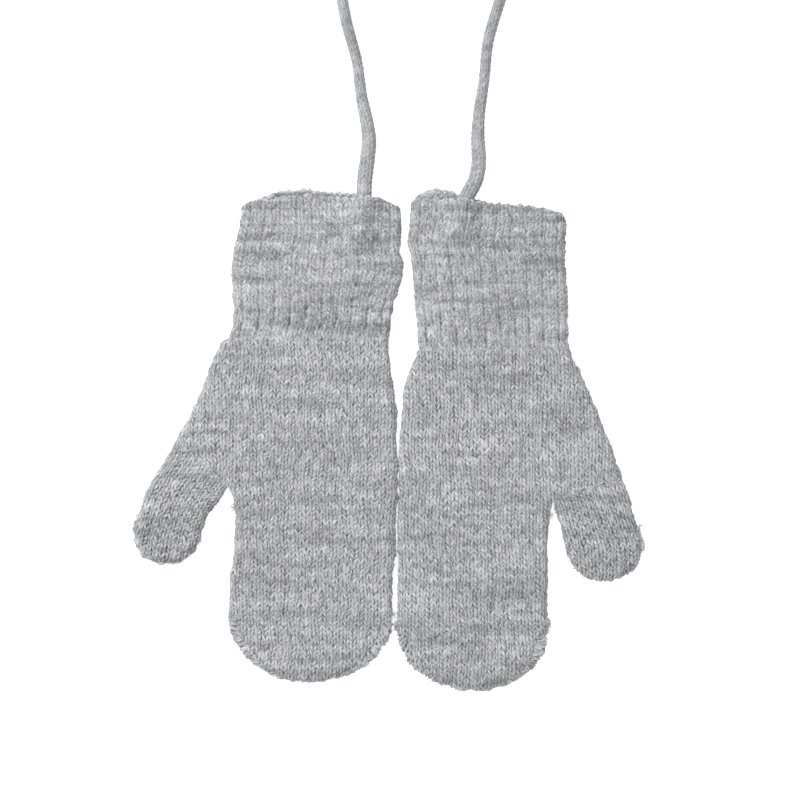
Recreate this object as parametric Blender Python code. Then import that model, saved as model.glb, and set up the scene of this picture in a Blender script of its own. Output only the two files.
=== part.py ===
"""A pair of toddler's knitted mittens on a joining string, laid flat on a table.

Each mitten is a ribbed cuff, a hand with its thumb gusset, a thumb, and the overlocked seams
that close the two tips. The string runs from inside one cuff to inside the other, and its
spare length lies in a coil above the pair. Sizes are in millimetres and are turned into
metres where the meshes are made. +Z is up and the cloth lies on z = 0.

Both mittens are worked out in one mitten frame, in which the thumb points toward -X and Y
rises toward the cuff. The left mitten is built as it stands and the right one is mirrored.

Run: blender --background --python part.py
"""

import math
from collections import namedtuple
from dataclasses import dataclass

import bmesh
import bpy
import numpy as np

# Driving sizes, in mm
MM = 0.001
SEAM_GAP = 0.3
HAND_THICK = 5.0
HAND_WALL = 2.2
CUFF_THICK = 5.6
CUFF_WALL = 2.5
CROWN = 0.4
FOLD_TURN = 2.3
LINING_TURN = 0.25
SIDE_STEPS = 3

# The cuff's ribs, on the face that shows; the face below rests flat. Each rib is two columns
# of stitches wide, and its stations are shares of its width and of its height.
RIBS = 11
RIB_DEPTH = 0.8
RIB_STATIONS = ((0.0, 0.0), (0.27, 1.0), (0.73, 1.0))
CUFF_UNDER_COLUMNS = 12
CUFF_ROWS = (0.0, 0.1, 0.21, 0.36, 0.65, 1.0)

# Columns of points across the thumb gusset and across the palm
GUSSET_COLUMNS = 3
PALM_COLUMNS = 9
GUSSET_ROWS = 6
GUSSET_START = 7.0
CROTCH_LINING = (1.8, 2.2)
HOLLOW_RISE = 2.4
PALM_CROWN_FROM = 0.25

# The overlocked seams: a round ridge along the edge of each tip
HAND_SEAM_RADIUS = 1.6
THUMB_SEAM_RADIUS = 1.3
SEAM_HEIGHT = 2.5
SHOULDER_FROM = 9.0
SHOULDER_TO = 13.5
SEAM_START = 15.0
HAND_SEAM_STEP = 7.5
THUMB_SEAM_STEP = 15.0
TIP_ANGLES = (SHOULDER_FROM, SHOULDER_TO, 26.0, 40.0, 55.0, 69.0, 81.0)
THUMB_TIP_ANGLES = (SHOULDER_FROM, SHOULDER_TO, 26.0, 42.0, 58.0, 75.0)
THUMB_ROWS = 6
TIP_TURN_SHARE = 0.6
LEAST_CLOSING = 0.05

# The joining string and the room that the front of the cuff makes for it
STRING_RADIUS = 2.1
STRING_SPREAD = 5.0
STRING_DEPTH = 9.0
STRING_FADE = 8.0
STRING_SLACK = 0.2
STRING_POINT_STEP = 7.0
COIL_CENTRE = (12.0, 184.0)
COIL_OUTER_TURN = 27.5
COIL_TURN_STEP = 4.5
COIL_SEGMENTS = 30

GREY_MELANGE = (0.40, 0.41, 0.43)
STRING_GREY = (0.44, 0.45, 0.47)

Outline = namedtuple("Outline", "y thumb_side far_side")
Mouth = namedtuple("Mouth", "across front back")
ThumbRow = namedtuple("ThumbRow", "outer_x outer_y inner_x inner_y")
Tip = namedtuple("Tip", "x y half_width depth")
Stop = namedtuple("Stop", "x y z")


@dataclass(frozen=True)
class Mitten:
    """The shape of one mitten, in the mitten frame."""

    side: str
    mirrored: bool
    cuff: tuple
    mouth: tuple
    gusset: tuple
    palm: tuple
    hand_tip: Tip
    thumb: tuple
    thumb_tip_depth: float
    string_x: float
    string_drift: float


LEFT = Mitten(
    side="left",
    mirrored=False,
    cuff=(
        Outline(76.0, -48.0, 4.0),
        Outline(69.4, -48.7, 4.4),
        Outline(61.7, -50.0, 4.4),
        Outline(55.2, -51.6, 4.9),
        Outline(48.7, -50.9, 3.4),
        Outline(43.5, -50.1, 2.1),
        Outline(38.3, -50.5, 1.3),
        Outline(33.1, -51.0, 0.4),
    ),
    mouth=(
        Mouth(0.00, 75.6, 75.6),
        Mouth(0.10, 77.6, 78.4),
        Mouth(0.20, 78.0, 80.5),
        Mouth(0.35, 78.3, 81.8),
        Mouth(0.50, 78.5, 81.1),
        Mouth(0.62, 78.5, 80.1),
        Mouth(0.76, 78.5, 79.2),
        Mouth(0.90, 77.6, 77.8),
        Mouth(1.00, 75.0, 75.0),
    ),
    gusset=(
        Outline(33.1, -52.2, 0.0),
        Outline(30.5, -54.8, 0.0),
        Outline(27.9, -56.1, 0.2),
        Outline(22.7, -58.4, 1.0),
        Outline(17.5, -60.0, 1.6),
        Outline(12.3, -62.6, 2.2),
        Outline(7.1, -64.9, 2.6),
        Outline(0.0, -68.8, 2.6),
    ),
    palm=(
        Outline(-14.6, -51.9, 2.6),
        Outline(-18.8, -50.3, 2.6),
        Outline(-24.0, -49.6, 2.5),
        Outline(-32.5, -50.2, 2.3),
        Outline(-42.2, -50.9, 1.9),
        Outline(-50.0, -51.6, 1.8),
        Outline(-55.2, -52.2, 1.8),
    ),
    hand_tip=Tip(-25.2, -55.2, 27.0, 23.7),
    thumb=(
        ThumbRow(-68.8, 0.0, -51.9, -14.6),
        ThumbRow(-73.0, -6.8, -54.2, -18.5),
        ThumbRow(-77.2, -14.3, -57.1, -22.4),
        ThumbRow(-80.8, -21.4, -59.7, -26.6),
        ThumbRow(-82.6, -29.2, -62.0, -32.5),
    ),
    thumb_tip_depth=9.4,
    string_x=-7.8,
    string_drift=-0.02,
)

RIGHT = Mitten(
    side="right",
    mirrored=True,
    cuff=(
        Outline(78.0, -57.6, -7.8),
        Outline(71.7, -58.3, -7.3),
        Outline(64.3, -58.2, -6.0),
        Outline(59.1, -57.9, -7.1),
        Outline(53.9, -57.9, -7.8),
        Outline(46.1, -58.2, -8.4),
        Outline(38.3, -59.0, -9.1),
        Outline(29.2, -58.4, -10.1),
    ),
    mouth=(
        Mouth(0.00, 71.7, 71.7),
        Mouth(0.10, 74.1, 74.1),
        Mouth(0.20, 75.3, 75.4),
        Mouth(0.40, 76.6, 76.8),
        Mouth(0.58, 77.6, 78.4),
        Mouth(0.70, 78.0, 80.0),
        Mouth(0.82, 78.1, 81.4),
        Mouth(0.92, 77.8, 80.5),
        Mouth(1.00, 76.5, 77.4),
    ),
    gusset=(
        Outline(29.2, -59.0, -9.7),
        Outline(27.9, -59.6, -9.5),
        Outline(25.3, -60.6, -8.4),
        Outline(22.7, -62.0, -7.3),
        Outline(17.5, -64.6, -5.6),
        Outline(12.3, -67.0, -4.8),
        Outline(4.0, -70.0, -4.0),
        Outline(-3.2, -73.0, -3.9),
        Outline(-12.7, -76.7, -3.8),
        Outline(-19.5, -79.0, -3.8),
    ),
    palm=(
        Outline(-19.5, -53.5, -3.8),
        Outline(-23.0, -52.4, -3.7),
        Outline(-30.0, -52.1, -3.5),
        Outline(-42.2, -52.1, -3.1),
        Outline(-52.0, -52.1, -2.8),
        Outline(-59.1, -52.2, -2.6),
    ),
    hand_tip=Tip(-27.4, -59.1, 24.8, 22.7),
    thumb=(
        ThumbRow(-76.7, -12.7, -53.5, -19.5),
        ThumbRow(-78.9, -18.8, -54.5, -22.7),
        ThumbRow(-80.5, -26.0, -56.1, -27.3),
        ThumbRow(-82.0, -31.2, -57.9, -32.5),
        ThumbRow(-82.7, -35.0, -58.7, -35.7),
    ),
    thumb_tip_depth=11.0,
    string_x=-24.7,
    string_drift=0.24,
)

# Where the string lies, from inside each cuff to just short of the coil
LEFT_STRING = (
    Stop(-8.0, 70.4, 4.9),
    Stop(-7.8, 78.9, 4.9),
    Stop(-7.6, 84.4, 4.0),
    Stop(-6.8, 90.9, 2.9),
    Stop(-6.2, 97.4, 2.4),
    Stop(-7.0, 103.8, 2.4),
    Stop(-8.4, 110.3, 2.4),
    Stop(-10.2, 123.3, 2.4),
    Stop(-13.6, 136.3, 2.4),
    Stop(-15.0, 144.0, 2.4),
    Stop(-15.5, 154.0, 2.4),
    Stop(-15.5, 168.0, 2.4),
)
RIGHT_STRING = (
    Stop(22.7, 68.5, 4.9),
    Stop(24.7, 76.9, 4.9),
    Stop(26.0, 79.8, 4.9),
    Stop(28.4, 84.4, 4.2),
    Stop(29.5, 90.9, 3.0),
    Stop(29.2, 97.4, 2.4),
    Stop(29.4, 103.8, 2.4),
    Stop(31.2, 116.8, 2.4),
    Stop(32.6, 129.8, 2.4),
    Stop(36.3, 142.8, 2.4),
    Stop(39.2, 154.0, 2.4),
    Stop(39.5, 168.0, 2.4),
)


# Curves read from the tables
def read_curve(at, values, position):
    """Reads a smooth curve that passes through each value of a table, at a position."""
    order = np.argsort(at)
    x = np.asarray(at, float)[order]
    y = np.asarray(values, float)[order]
    slope = np.gradient(y, x)
    position = np.clip(position, x[0], x[-1])
    i = np.clip(np.searchsorted(x, position) - 1, 0, len(x) - 2)
    width = x[i + 1] - x[i]
    t = (position - x[i]) / width
    rise = y[i + 1] - y[i]
    bend_a = slope[i] * width - rise
    bend_b = rise - slope[i + 1] * width
    return y[i] + rise * t + t * (1 - t) * (bend_a * (1 - t) + bend_b * t)


def column(table, name):
    """Lists one named column of a table."""
    return [getattr(row, name) for row in table]


def edge(table, name, y):
    """Reads how far out an edge of the cloth lies at height y."""
    return read_curve(column(table, "y"), column(table, name), y)


def smoothstep(value):
    """Eases from 0 to 1 between 0 and 1."""
    t = np.clip(value, 0.0, 1.0)
    return t * t * (3 - 2 * t)


# Rings round the flat tube of cloth
def arc(start, end, bulge):
    """Lists the points of the fold between two faces, from start to end, round the bulge."""
    middle = (start + end) / 2
    half = (start - end) / 2
    angles = [math.pi * k / (SIDE_STEPS + 1) for k in range(1, SIDE_STEPS + 1)]
    return [middle + half * math.cos(a) + bulge * math.sin(a) for a in angles]


def outward(points, turn_a, turn_b):
    """Works out how far, and which way, the folds bulge past the first and the last column."""
    first = points[0] - points[1]
    last = points[-1] - points[-2]
    first[2] = last[2] = 0.0
    return turn_a * first / np.linalg.norm(first), turn_b * last / np.linalg.norm(last)


@dataclass
class Ring:
    """One ring: the face below and the face above, and the two folds between them."""

    under: list
    far_fold: list
    over: list
    thumb_fold: list

    @classmethod
    def around(cls, under, over, turn_a, turn_b):
        """Closes two rows of columns, each from the thumb side to the far side, into a ring."""
        bulge_a, bulge_b = outward(over, turn_a, turn_b)
        return cls(
            under=list(under),
            far_fold=arc(under[-1], over[-1], bulge_b),
            over=list(over),
            thumb_fold=arc(over[0], under[0], bulge_a),
        )

    def loop(self):
        """Lists the ring's points in order."""
        return self.under + self.far_fold + self.over[::-1] + self.thumb_fold


def rows_at(plan, low, high):
    """Stacks a plan of XY points at two heights."""
    under = np.column_stack([plan, np.broadcast_to(low, len(plan))])
    over = np.column_stack([plan, np.broadcast_to(high, len(plan))])
    return under, over


def crowned(height, across):
    """Lets the face above fall a little from the middle to the folds."""
    return height - CROWN * (2 * across - 1) ** 2


def straight_plan(start, end, inset_a, inset_b, columns):
    """Spreads columns evenly between two edge points, in from each by its inset."""
    start = np.array(start, float)
    end = np.array(end, float)
    along = (end - start) / np.linalg.norm(end - start)
    across = np.linspace(0.0, 1.0, columns + 1)[:, None]
    return (start + inset_a * along) * (1 - across) + (end - inset_b * along) * across


# Building the solids
class Builder:
    """Collects the rings of one solid in a mesh and closes them."""

    def __init__(self, mitten):
        self.bm = bmesh.new()
        self.flip = -1.0 if mitten.mirrored else 1.0

    def vertex(self, point):
        """Adds one point, given in mm in the mitten frame."""
        x, y, z = point
        return self.bm.verts.new((self.flip * x * MM, y * MM, z * MM))

    def add(self, ring):
        """Adds a ring's points and returns it with vertices in their place."""
        parts = (ring.under, ring.far_fold, ring.over, ring.thumb_fold)
        return Ring(*([self.vertex(p) for p in part] for part in parts))

    def skin(self, first, second):
        """Fills the band between two closed loops of as many vertices each."""
        pairs = list(zip(first, second))
        for (a, b), (c, d) in zip(pairs, pairs[1:] + pairs[:1]):
            self.bm.faces.new((a, b, d, c))

    def loft(self, loops):
        """Fills the bands between neighbouring loops."""
        for first, second in zip(loops, loops[1:]):
            self.skin(first, second)

    def finish(self, name, pivot, parent, color):
        """Turns the faces outward and places the solid by its pivot, under its parent."""
        bmesh.ops.recalc_face_normals(self.bm, faces=self.bm.faces)
        mesh = bpy.data.meshes.new(name)
        offset = np.array([self.flip * pivot[0], pivot[1], 0.0]) * MM
        bmesh.ops.translate(self.bm, verts=self.bm.verts, vec=-offset)
        self.bm.to_mesh(mesh)
        self.bm.free()
        solid = bpy.data.objects.new(name, mesh)
        solid.location = offset
        dress(solid, name, color, parent)


def knit_material(name, color):
    """Makes the plain matt material of one knitted piece."""
    material = bpy.data.materials.new(name)
    material.use_nodes = True
    shader = material.node_tree.nodes["Principled BSDF"]
    shader.inputs["Base Color"].default_value = (*color, 1.0)
    shader.inputs["Roughness"].default_value = 0.95
    shader.inputs["Metallic"].default_value = 0.0
    return material


def dress(solid, name, color, parent):
    """Links a solid into the scene with its own material, under its parent."""
    solid.data.materials.append(knit_material(name, color))
    solid.parent = parent
    bpy.context.scene.collection.objects.link(solid)
    if solid.type == "MESH":
        solid.data.shade_smooth()
        solid.data.set_sharp_from_angle(angle=math.radians(40))


# The cuff
def string_lift(mitten, x, y, front):
    """Raises the front of the cuff over the string, from the mouth down past its end."""
    centre = mitten.string_x - mitten.string_drift * (y - front)
    spread = np.exp(-(((x - centre) / STRING_SPREAD) ** 2))
    past = (front - y - STRING_DEPTH) / STRING_FADE
    room = CUFF_THICK - 2 * CUFF_WALL
    height = 2 * STRING_RADIUS + 2 * SEAM_GAP + STRING_SLACK - room
    return height * spread * (1 - smoothstep(past))


def cuff_face(mitten, down, across, inset, mouth_name):
    """Plans one face of the cuff at a share of the way down: XY points from edge to edge."""
    table = mitten.mouth
    mouth = read_curve(column(table, "across"), column(table, mouth_name), across)
    border = mitten.cuff[-1].y + SEAM_GAP / 2
    y = mouth * (1 - down) + border * down
    thumb_side = edge(mitten.cuff, "thumb_side", y[0]) + inset
    far_side = edge(mitten.cuff, "far_side", y[-1]) - inset
    return np.column_stack([thumb_side * (1 - across) + far_side * across, y])


def rib_profile():
    """Lists the columns across the ribbed face and each one's share of a rib's height."""
    stations = [(k + at, rise) for k in range(RIBS) for at, rise in RIB_STATIONS]
    stations.append((RIBS, RIB_STATIONS[0][1]))
    across, rise = np.array(stations, float).T
    return across / RIBS, rise


def cuff_ring(mitten, down, wall, rib_depth):
    """Works out one ring of the cuff: wall is 0 outside and the wall's thickness inside."""
    turn = LINING_TURN if wall else FOLD_TURN
    inset = wall + turn
    below = np.linspace(0.0, 1.0, CUFF_UNDER_COLUMNS)
    above, rise = rib_profile()
    back = cuff_face(mitten, down, below, inset, "back")
    front = cuff_face(mitten, down, above, inset, "front")
    mouth = read_curve(column(mitten.mouth, "across"), column(mitten.mouth, "front"), above)
    valley = rib_depth * (1 - rise)
    high = crowned(CUFF_THICK - wall, above) - valley
    high = high + string_lift(mitten, front[:, 0], front[:, 1], mouth)
    under = np.column_stack([back, np.full(len(back), wall)])
    over = np.column_stack([front, high])
    return Ring.around(under, over, turn, turn)


def make_cuff(mitten, parent):
    """The ribbed cuff: an open tube of cloth, ribbed where it shows and plain inside."""
    builder = Builder(mitten)
    outer = [builder.add(cuff_ring(mitten, t, 0.0, RIB_DEPTH)).loop() for t in CUFF_ROWS]
    inner = [builder.add(cuff_ring(mitten, t, CUFF_WALL, 0.0)).loop() for t in CUFF_ROWS]
    builder.loft(outer)
    builder.loft(inner)
    builder.skin(outer[0], inner[0])
    builder.skin(outer[-1], inner[-1])
    border = mitten.cuff[-1]
    middle = (border.thumb_side + border.far_side) / 2
    builder.finish(f"{mitten.side}_cuff", (middle, border.y), parent, GREY_MELANGE)


# The hand and its gusset
def gusset_ring(mitten, down, wall):
    """One ring above the thumb: its rows bend down from the thumb side to the crotch."""
    turn = LINING_TURN if wall else FOLD_TURN
    inset = wall + turn
    crotch = mitten.palm[0]
    joint_top = mitten.thumb[0]
    border = mitten.gusset[0].y - SEAM_GAP / 2
    rise = HOLLOW_RISE if wall else 0.0
    outer_y = border + (joint_top.outer_y + rise - border) * down
    inner_y = border + (crotch.y + rise - border) * down
    lining = CROTCH_LINING if wall else (0.0, 0.0)
    bend_start = np.array([mitten.gusset[0].thumb_side + GUSSET_START, border])
    bend_end = np.array([crotch.thumb_side + lining[0], crotch.y + lining[1]])
    bend = bend_start + (bend_end - bend_start) * down
    outer = (edge(mitten.gusset, "thumb_side", outer_y), outer_y)
    far_y = np.clip(inner_y, mitten.palm[-1].y, border)
    far_table = mitten.gusset[:-1] + mitten.palm
    far = (edge(far_table, "far_side", far_y), inner_y)
    gusset = straight_plan(outer, bend, inset, 0.0, GUSSET_COLUMNS)
    palm = straight_plan(bend, far, 0.0, inset, PALM_COLUMNS)
    plan = np.vstack([gusset, palm[1:]])
    across = np.linspace(0.0, 1.0, len(plan))
    under, over = rows_at(plan, wall, crowned(HAND_THICK - wall, across))
    return Ring.around(under, over, turn, turn)


def palm_ring(mitten, y, wall):
    """One ring of the palm, below the thumb."""
    turn = LINING_TURN if wall else FOLD_TURN
    inset = wall + turn
    thumb_side = edge(mitten.palm, "thumb_side", y)
    far_side = edge(mitten.palm, "far_side", y)
    plan = straight_plan((thumb_side, y), (far_side, y), inset, inset, PALM_COLUMNS)
    across = np.linspace(PALM_CROWN_FROM, 1.0, len(plan))
    under, over = rows_at(plan, wall, crowned(HAND_THICK - wall, across))
    return Ring.around(under, over, turn, turn)


def seam_inset(angle, radius):
    """How far the cloth of a tip stays in from its outline to leave the seam's ridge room."""
    ease = smoothstep((angle - SHOULDER_FROM) / (SHOULDER_TO - SHOULDER_FROM))
    return ease * (2 * radius + SEAM_GAP)


def tip_ring(middle, half, forward, angle, wall, radius, columns):
    """One ring of a rounded tip, at an angle round its half ellipse.

    middle: the tip's centre; half: from there to its far side; forward: from there to its end
    """
    turn = LINING_TURN if wall else FOLD_TURN
    inset = seam_inset(angle, radius) + wall
    half_width = np.linalg.norm(half)
    depth = np.linalg.norm(forward)
    bearing = math.radians(angle)
    reach = (half_width - inset) * math.cos(bearing)
    ahead = (depth - inset) * math.sin(bearing)
    centre = middle + forward / depth * ahead
    side = half / half_width
    turn_here = min(turn, TIP_TURN_SHARE * reach)
    plan = straight_plan(
        centre - side * reach, centre + side * reach, turn_here, turn_here, columns
    )
    left_over = (depth - inset) - ahead
    closing = 1 - (1 - min(left_over / FOLD_TURN, 1.0)) ** 2
    level = HAND_THICK / 2
    spare = (level - wall) * math.sqrt(max(closing, LEAST_CLOSING))
    low = level - spare
    across = np.linspace(0.0, 1.0, len(plan))
    high = level + spare - CROWN * (2 * across - 1) ** 2 * spare / level
    under, over = rows_at(plan, low, high)
    return Ring.around(under, over, turn_here, turn_here)


def hand_surface(builder, mitten, wall):
    """Adds one surface of the hand and returns its loops at the cuff and at the thumb."""
    above = [
        builder.add(gusset_ring(mitten, k / GUSSET_ROWS, wall)) for k in range(GUSSET_ROWS + 1)
    ]
    builder.loft([ring.loop() for ring in above])
    split = above[-1]
    crotch_low = split.under[GUSSET_COLUMNS]
    crotch_high = split.over[GUSSET_COLUMNS]
    low = np.array(crotch_low.co) / MM
    high = np.array(crotch_high.co) / MM
    low[0] *= builder.flip
    high[0] *= builder.flip
    bridge = [builder.vertex(p) for p in arc(high, low, np.zeros(3))]
    palm_start = (
        split.under[GUSSET_COLUMNS:]
        + split.far_fold
        + split.over[GUSSET_COLUMNS:][::-1]
        + bridge
    )
    tip = mitten.hand_tip
    middle = np.array([tip.x, tip.y])
    half = np.array([tip.half_width, 0.0])
    forward = np.array([0.0, -tip.depth])
    rings = [palm_ring(mitten, row.y, wall) for row in mitten.palm[1:]]
    rings += [
        tip_ring(middle, half, forward, angle, wall, HAND_SEAM_RADIUS, PALM_COLUMNS)
        for angle in TIP_ANGLES
    ]
    loops = [palm_start] + [builder.add(ring).loop() for ring in rings]
    builder.loft(loops)
    builder.bm.faces.new(loops[-1])
    thumb_hole = (
        split.under[: GUSSET_COLUMNS + 1]
        + bridge[::-1]
        + split.over[: GUSSET_COLUMNS + 1][::-1]
        + split.thumb_fold
    )
    return above[0].loop(), thumb_hole


def thumb_hole_rim(builder, mitten):
    """Adds the inner edge of the hand's thumb hole, in the plane of the thumb's joint."""
    row = mitten.thumb[0]
    plan = straight_plan(
        (row.outer_x, row.outer_y),
        (row.inner_x, row.inner_y),
        HAND_WALL + LINING_TURN,
        HAND_WALL,
        GUSSET_COLUMNS,
    )
    under, over = rows_at(plan, HAND_WALL, HAND_THICK - HAND_WALL)
    ring = builder.add(Ring.around(under, over, LINING_TURN, 0.0))
    return ring.loop()


def make_hand(mitten, parent):
    """The hand: a flat tube that narrows to a closed tip, with a hole where the thumb joins."""
    builder = Builder(mitten)
    outer_cuff, outer_hole = hand_surface(builder, mitten, 0.0)
    inner_cuff, inner_hole = hand_surface(builder, mitten, HAND_WALL)
    rim = thumb_hole_rim(builder, mitten)
    builder.skin(outer_cuff, inner_cuff)
    builder.skin(inner_hole, rim)
    builder.skin(rim, outer_hole)
    border = mitten.gusset[0]
    middle = (border.thumb_side + border.far_side) / 2
    builder.finish(f"{mitten.side}_hand", (middle, border.y), parent, GREY_MELANGE)


# The thumb
def thumb_frame(mitten, down):
    """Reads the thumb's two edge points at a share of the way from its joint to its tip."""
    at = np.linspace(0.0, 1.0, len(mitten.thumb))
    values = [read_curve(at, column(mitten.thumb, name), down) for name in ThumbRow._fields]
    outer = np.array(values[:2])
    inner = np.array(values[2:])
    return outer, inner


def joint_offset(mitten):
    """The step that parts the thumb from the hand, square to the joint."""
    outer, inner = thumb_frame(mitten, 0.0)
    along = (inner - outer) / np.linalg.norm(inner - outer)
    return SEAM_GAP * np.array([along[1], -along[0]])


def thumb_ring(mitten, down, wall):
    """One ring of the thumb between its joint and its rounded tip."""
    turn = LINING_TURN if wall else FOLD_TURN
    outer, inner = thumb_frame(mitten, down)
    step = joint_offset(mitten) * (1 - down)
    crotch_turn = turn * smoothstep(down * THUMB_ROWS)
    plan = straight_plan(
        outer + step, inner + step, wall + turn, wall + crotch_turn, GUSSET_COLUMNS
    )
    across = np.linspace(0.0, 1.0, len(plan))
    under, over = rows_at(plan, wall, crowned(HAND_THICK - wall, across))
    return Ring.around(under, over, turn, crotch_turn)


def thumb_tip_frame(mitten):
    """The thumb tip's centre, half width and reach, as vectors."""
    outer, inner = thumb_frame(mitten, 1.0)
    half = (inner - outer) / 2
    ahead = np.array([half[1], -half[0]]) / np.linalg.norm(half)
    return (outer + inner) / 2, half, ahead * mitten.thumb_tip_depth


def make_thumb(mitten, parent):
    """The thumb: a short flat tube with a closed tip."""
    builder = Builder(mitten)
    tip = thumb_tip_frame(mitten)
    surfaces = []
    for wall in (0.0, HAND_WALL):
        rings = [thumb_ring(mitten, k / THUMB_ROWS, wall) for k in range(THUMB_ROWS + 1)]
        rings += [
            tip_ring(*tip, angle, wall, THUMB_SEAM_RADIUS, GUSSET_COLUMNS)
            for angle in THUMB_TIP_ANGLES
        ]
        loops = [builder.add(ring).loop() for ring in rings]
        builder.loft(loops)
        builder.bm.faces.new(loops[-1])
        surfaces.append(loops)
    builder.skin(surfaces[0][0], surfaces[1][0])
    outer, inner = thumb_frame(mitten, 0.0)
    builder.finish(f"{mitten.side}_thumb", (outer + inner) / 2, parent, GREY_MELANGE)


# Round ridges and cords
def tube(name, points, radius, parent, color):
    """A round cord along a list of points, as a curve with a bevel and filled caps."""
    pivot = points[0]
    curve = bpy.data.curves.new(name, "CURVE")
    curve.dimensions = "3D"
    curve.bevel_depth = radius * MM
    curve.bevel_resolution = 2
    curve.use_fill_caps = True
    spline = curve.splines.new("POLY")
    spline.points.add(len(points) - 1)
    for slot, point in zip(spline.points, points):
        slot.co = (*((point - pivot) * MM), 1.0)
    solid = bpy.data.objects.new(name, curve)
    solid.location = pivot * MM
    dress(solid, name, color, parent)


def make_seam(name, mitten, frame, radius, step, parent):
    """The overlocked ridge round a tip, from one shoulder to the other."""
    middle, half, forward = frame
    angles = np.arange(SEAM_START, 180.0 - SEAM_START + step / 2, step)
    inward = 1 - radius / np.linalg.norm(half)
    back = 1 - radius / np.linalg.norm(forward)
    flip = -1.0 if mitten.mirrored else 1.0
    points = []
    for bearing in np.radians(angles):
        x, y = middle + half * inward * math.cos(bearing) + forward * back * math.sin(bearing)
        points.append(np.array([flip * x, y, SEAM_HEIGHT]))
    tube(name, points, radius, parent, GREY_MELANGE)


def make_string(name, stops, parent):
    """One end of the joining string, read from a smooth curve through its stops."""
    route = np.array(stops)
    run = np.concatenate([[0.0], np.cumsum(np.linalg.norm(np.diff(route, axis=0), axis=1))])
    steps = np.linspace(0.0, run[-1], round(run[-1] / STRING_POINT_STEP) + 1)
    points = np.column_stack([read_curve(run, route[:, axis], steps) for axis in range(3)])
    tube(name, points, STRING_RADIUS, parent, STRING_GREY)


def make_coil(parent):
    """The outer shape of the coiled spare string: a ring two turns wide and two high."""
    centre = np.array([*COIL_CENTRE, 0.0])
    outer = COIL_OUTER_TURN + COIL_TURN_STEP / 2
    inner = COIL_OUTER_TURN - 1.5 * COIL_TURN_STEP
    low = SEAM_GAP
    high = SEAM_GAP + 4 * STRING_RADIUS
    bevel = STRING_RADIUS / 2
    profile = (
        (inner + bevel, low),
        (outer - bevel, low),
        (outer, low + bevel),
        (outer, high - bevel),
        (outer - bevel, high),
        (inner + bevel, high),
        (inner, high - bevel),
        (inner, low + bevel),
    )
    bm = bmesh.new()
    verts = [bm.verts.new((radius * MM, 0.0, z * MM)) for radius, z in profile]
    edges = [bm.edges.new(pair) for pair in zip(verts, verts[1:] + verts[:1])]
    bmesh.ops.spin(
        bm,
        geom=verts + edges,
        axis=(0.0, 0.0, 1.0),
        cent=(0.0, 0.0, 0.0),
        angle=2 * math.pi,
        steps=COIL_SEGMENTS,
        use_merge=True,
    )
    bmesh.ops.recalc_face_normals(bm, faces=bm.faces)
    mesh = bpy.data.meshes.new("string_coil")
    bm.to_mesh(mesh)
    bm.free()
    coil = bpy.data.objects.new("string_coil", mesh)
    coil.location = centre * MM
    dress(coil, "string_coil", STRING_GREY, parent)


def make_mitten(mitten, parent):
    """All pieces of one mitten, under an empty of its own."""
    holder = bpy.data.objects.new(f"{mitten.side}_mitten", None)
    holder.parent = parent
    bpy.context.scene.collection.objects.link(holder)
    make_cuff(mitten, holder)
    make_hand(mitten, holder)
    make_thumb(mitten, holder)
    tip = mitten.hand_tip
    hand_frame = (
        np.array([tip.x, tip.y]),
        np.array([tip.half_width, 0.0]),
        np.array([0.0, -tip.depth]),
    )
    make_seam(f"{mitten.side}_hand_seam", mitten, hand_frame, HAND_SEAM_RADIUS, HAND_SEAM_STEP, holder)
    make_seam(
        f"{mitten.side}_thumb_seam",
        mitten,
        thumb_tip_frame(mitten),
        THUMB_SEAM_RADIUS,
        THUMB_SEAM_STEP,
        holder,
    )


def main():
    """Clears the scene and builds the pair and its string."""
    for old in list(bpy.data.objects):
        bpy.data.objects.remove(old)
    pair = bpy.data.objects.new("pair_of_mittens", None)
    bpy.context.scene.collection.objects.link(pair)
    make_mitten(LEFT, pair)
    make_mitten(RIGHT, pair)
    make_string("string_left", LEFT_STRING, pair)
    make_string("string_right", RIGHT_STRING, pair)
    make_coil(pair)


main()
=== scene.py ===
"""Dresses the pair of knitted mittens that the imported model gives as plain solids.

Every cuff, hand and thumb is a hollow shell of knitted cloth whose outer face carries each
stitch as geometry. The overlocked tips and the joining string are knitted and sewn the same
way. Sizes are in millimetres until a mesh is made, and they repeat those of the CAD source
within a millimetre.

Both mittens are worked out in one mitten frame, in which the thumb points toward -X and Y
rises toward the cuff. The left mitten is built as it stands and the right one is mirrored.
"""

import logging
import math
from collections import namedtuple
from dataclasses import dataclass, field
from enum import Enum, IntEnum

import bpy
import numpy as np
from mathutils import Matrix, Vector


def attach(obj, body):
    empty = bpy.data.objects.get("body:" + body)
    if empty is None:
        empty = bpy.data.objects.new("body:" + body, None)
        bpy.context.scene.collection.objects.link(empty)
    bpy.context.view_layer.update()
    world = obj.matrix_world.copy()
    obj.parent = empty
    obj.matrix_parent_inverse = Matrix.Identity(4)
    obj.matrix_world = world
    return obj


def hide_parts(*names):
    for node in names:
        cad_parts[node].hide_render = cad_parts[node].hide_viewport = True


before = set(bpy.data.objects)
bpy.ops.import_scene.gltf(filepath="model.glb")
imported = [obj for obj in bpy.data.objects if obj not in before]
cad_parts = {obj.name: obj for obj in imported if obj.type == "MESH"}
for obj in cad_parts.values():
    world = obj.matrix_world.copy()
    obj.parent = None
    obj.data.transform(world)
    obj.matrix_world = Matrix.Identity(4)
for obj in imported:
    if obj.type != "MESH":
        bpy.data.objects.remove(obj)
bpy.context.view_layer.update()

log = logging.getLogger("mittens")

# What a node takes: another node's output, a number, a name, a vector or colour, or a group
Value = bpy.types.NodeSocket | float | str | tuple | bpy.types.NodeTree

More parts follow.
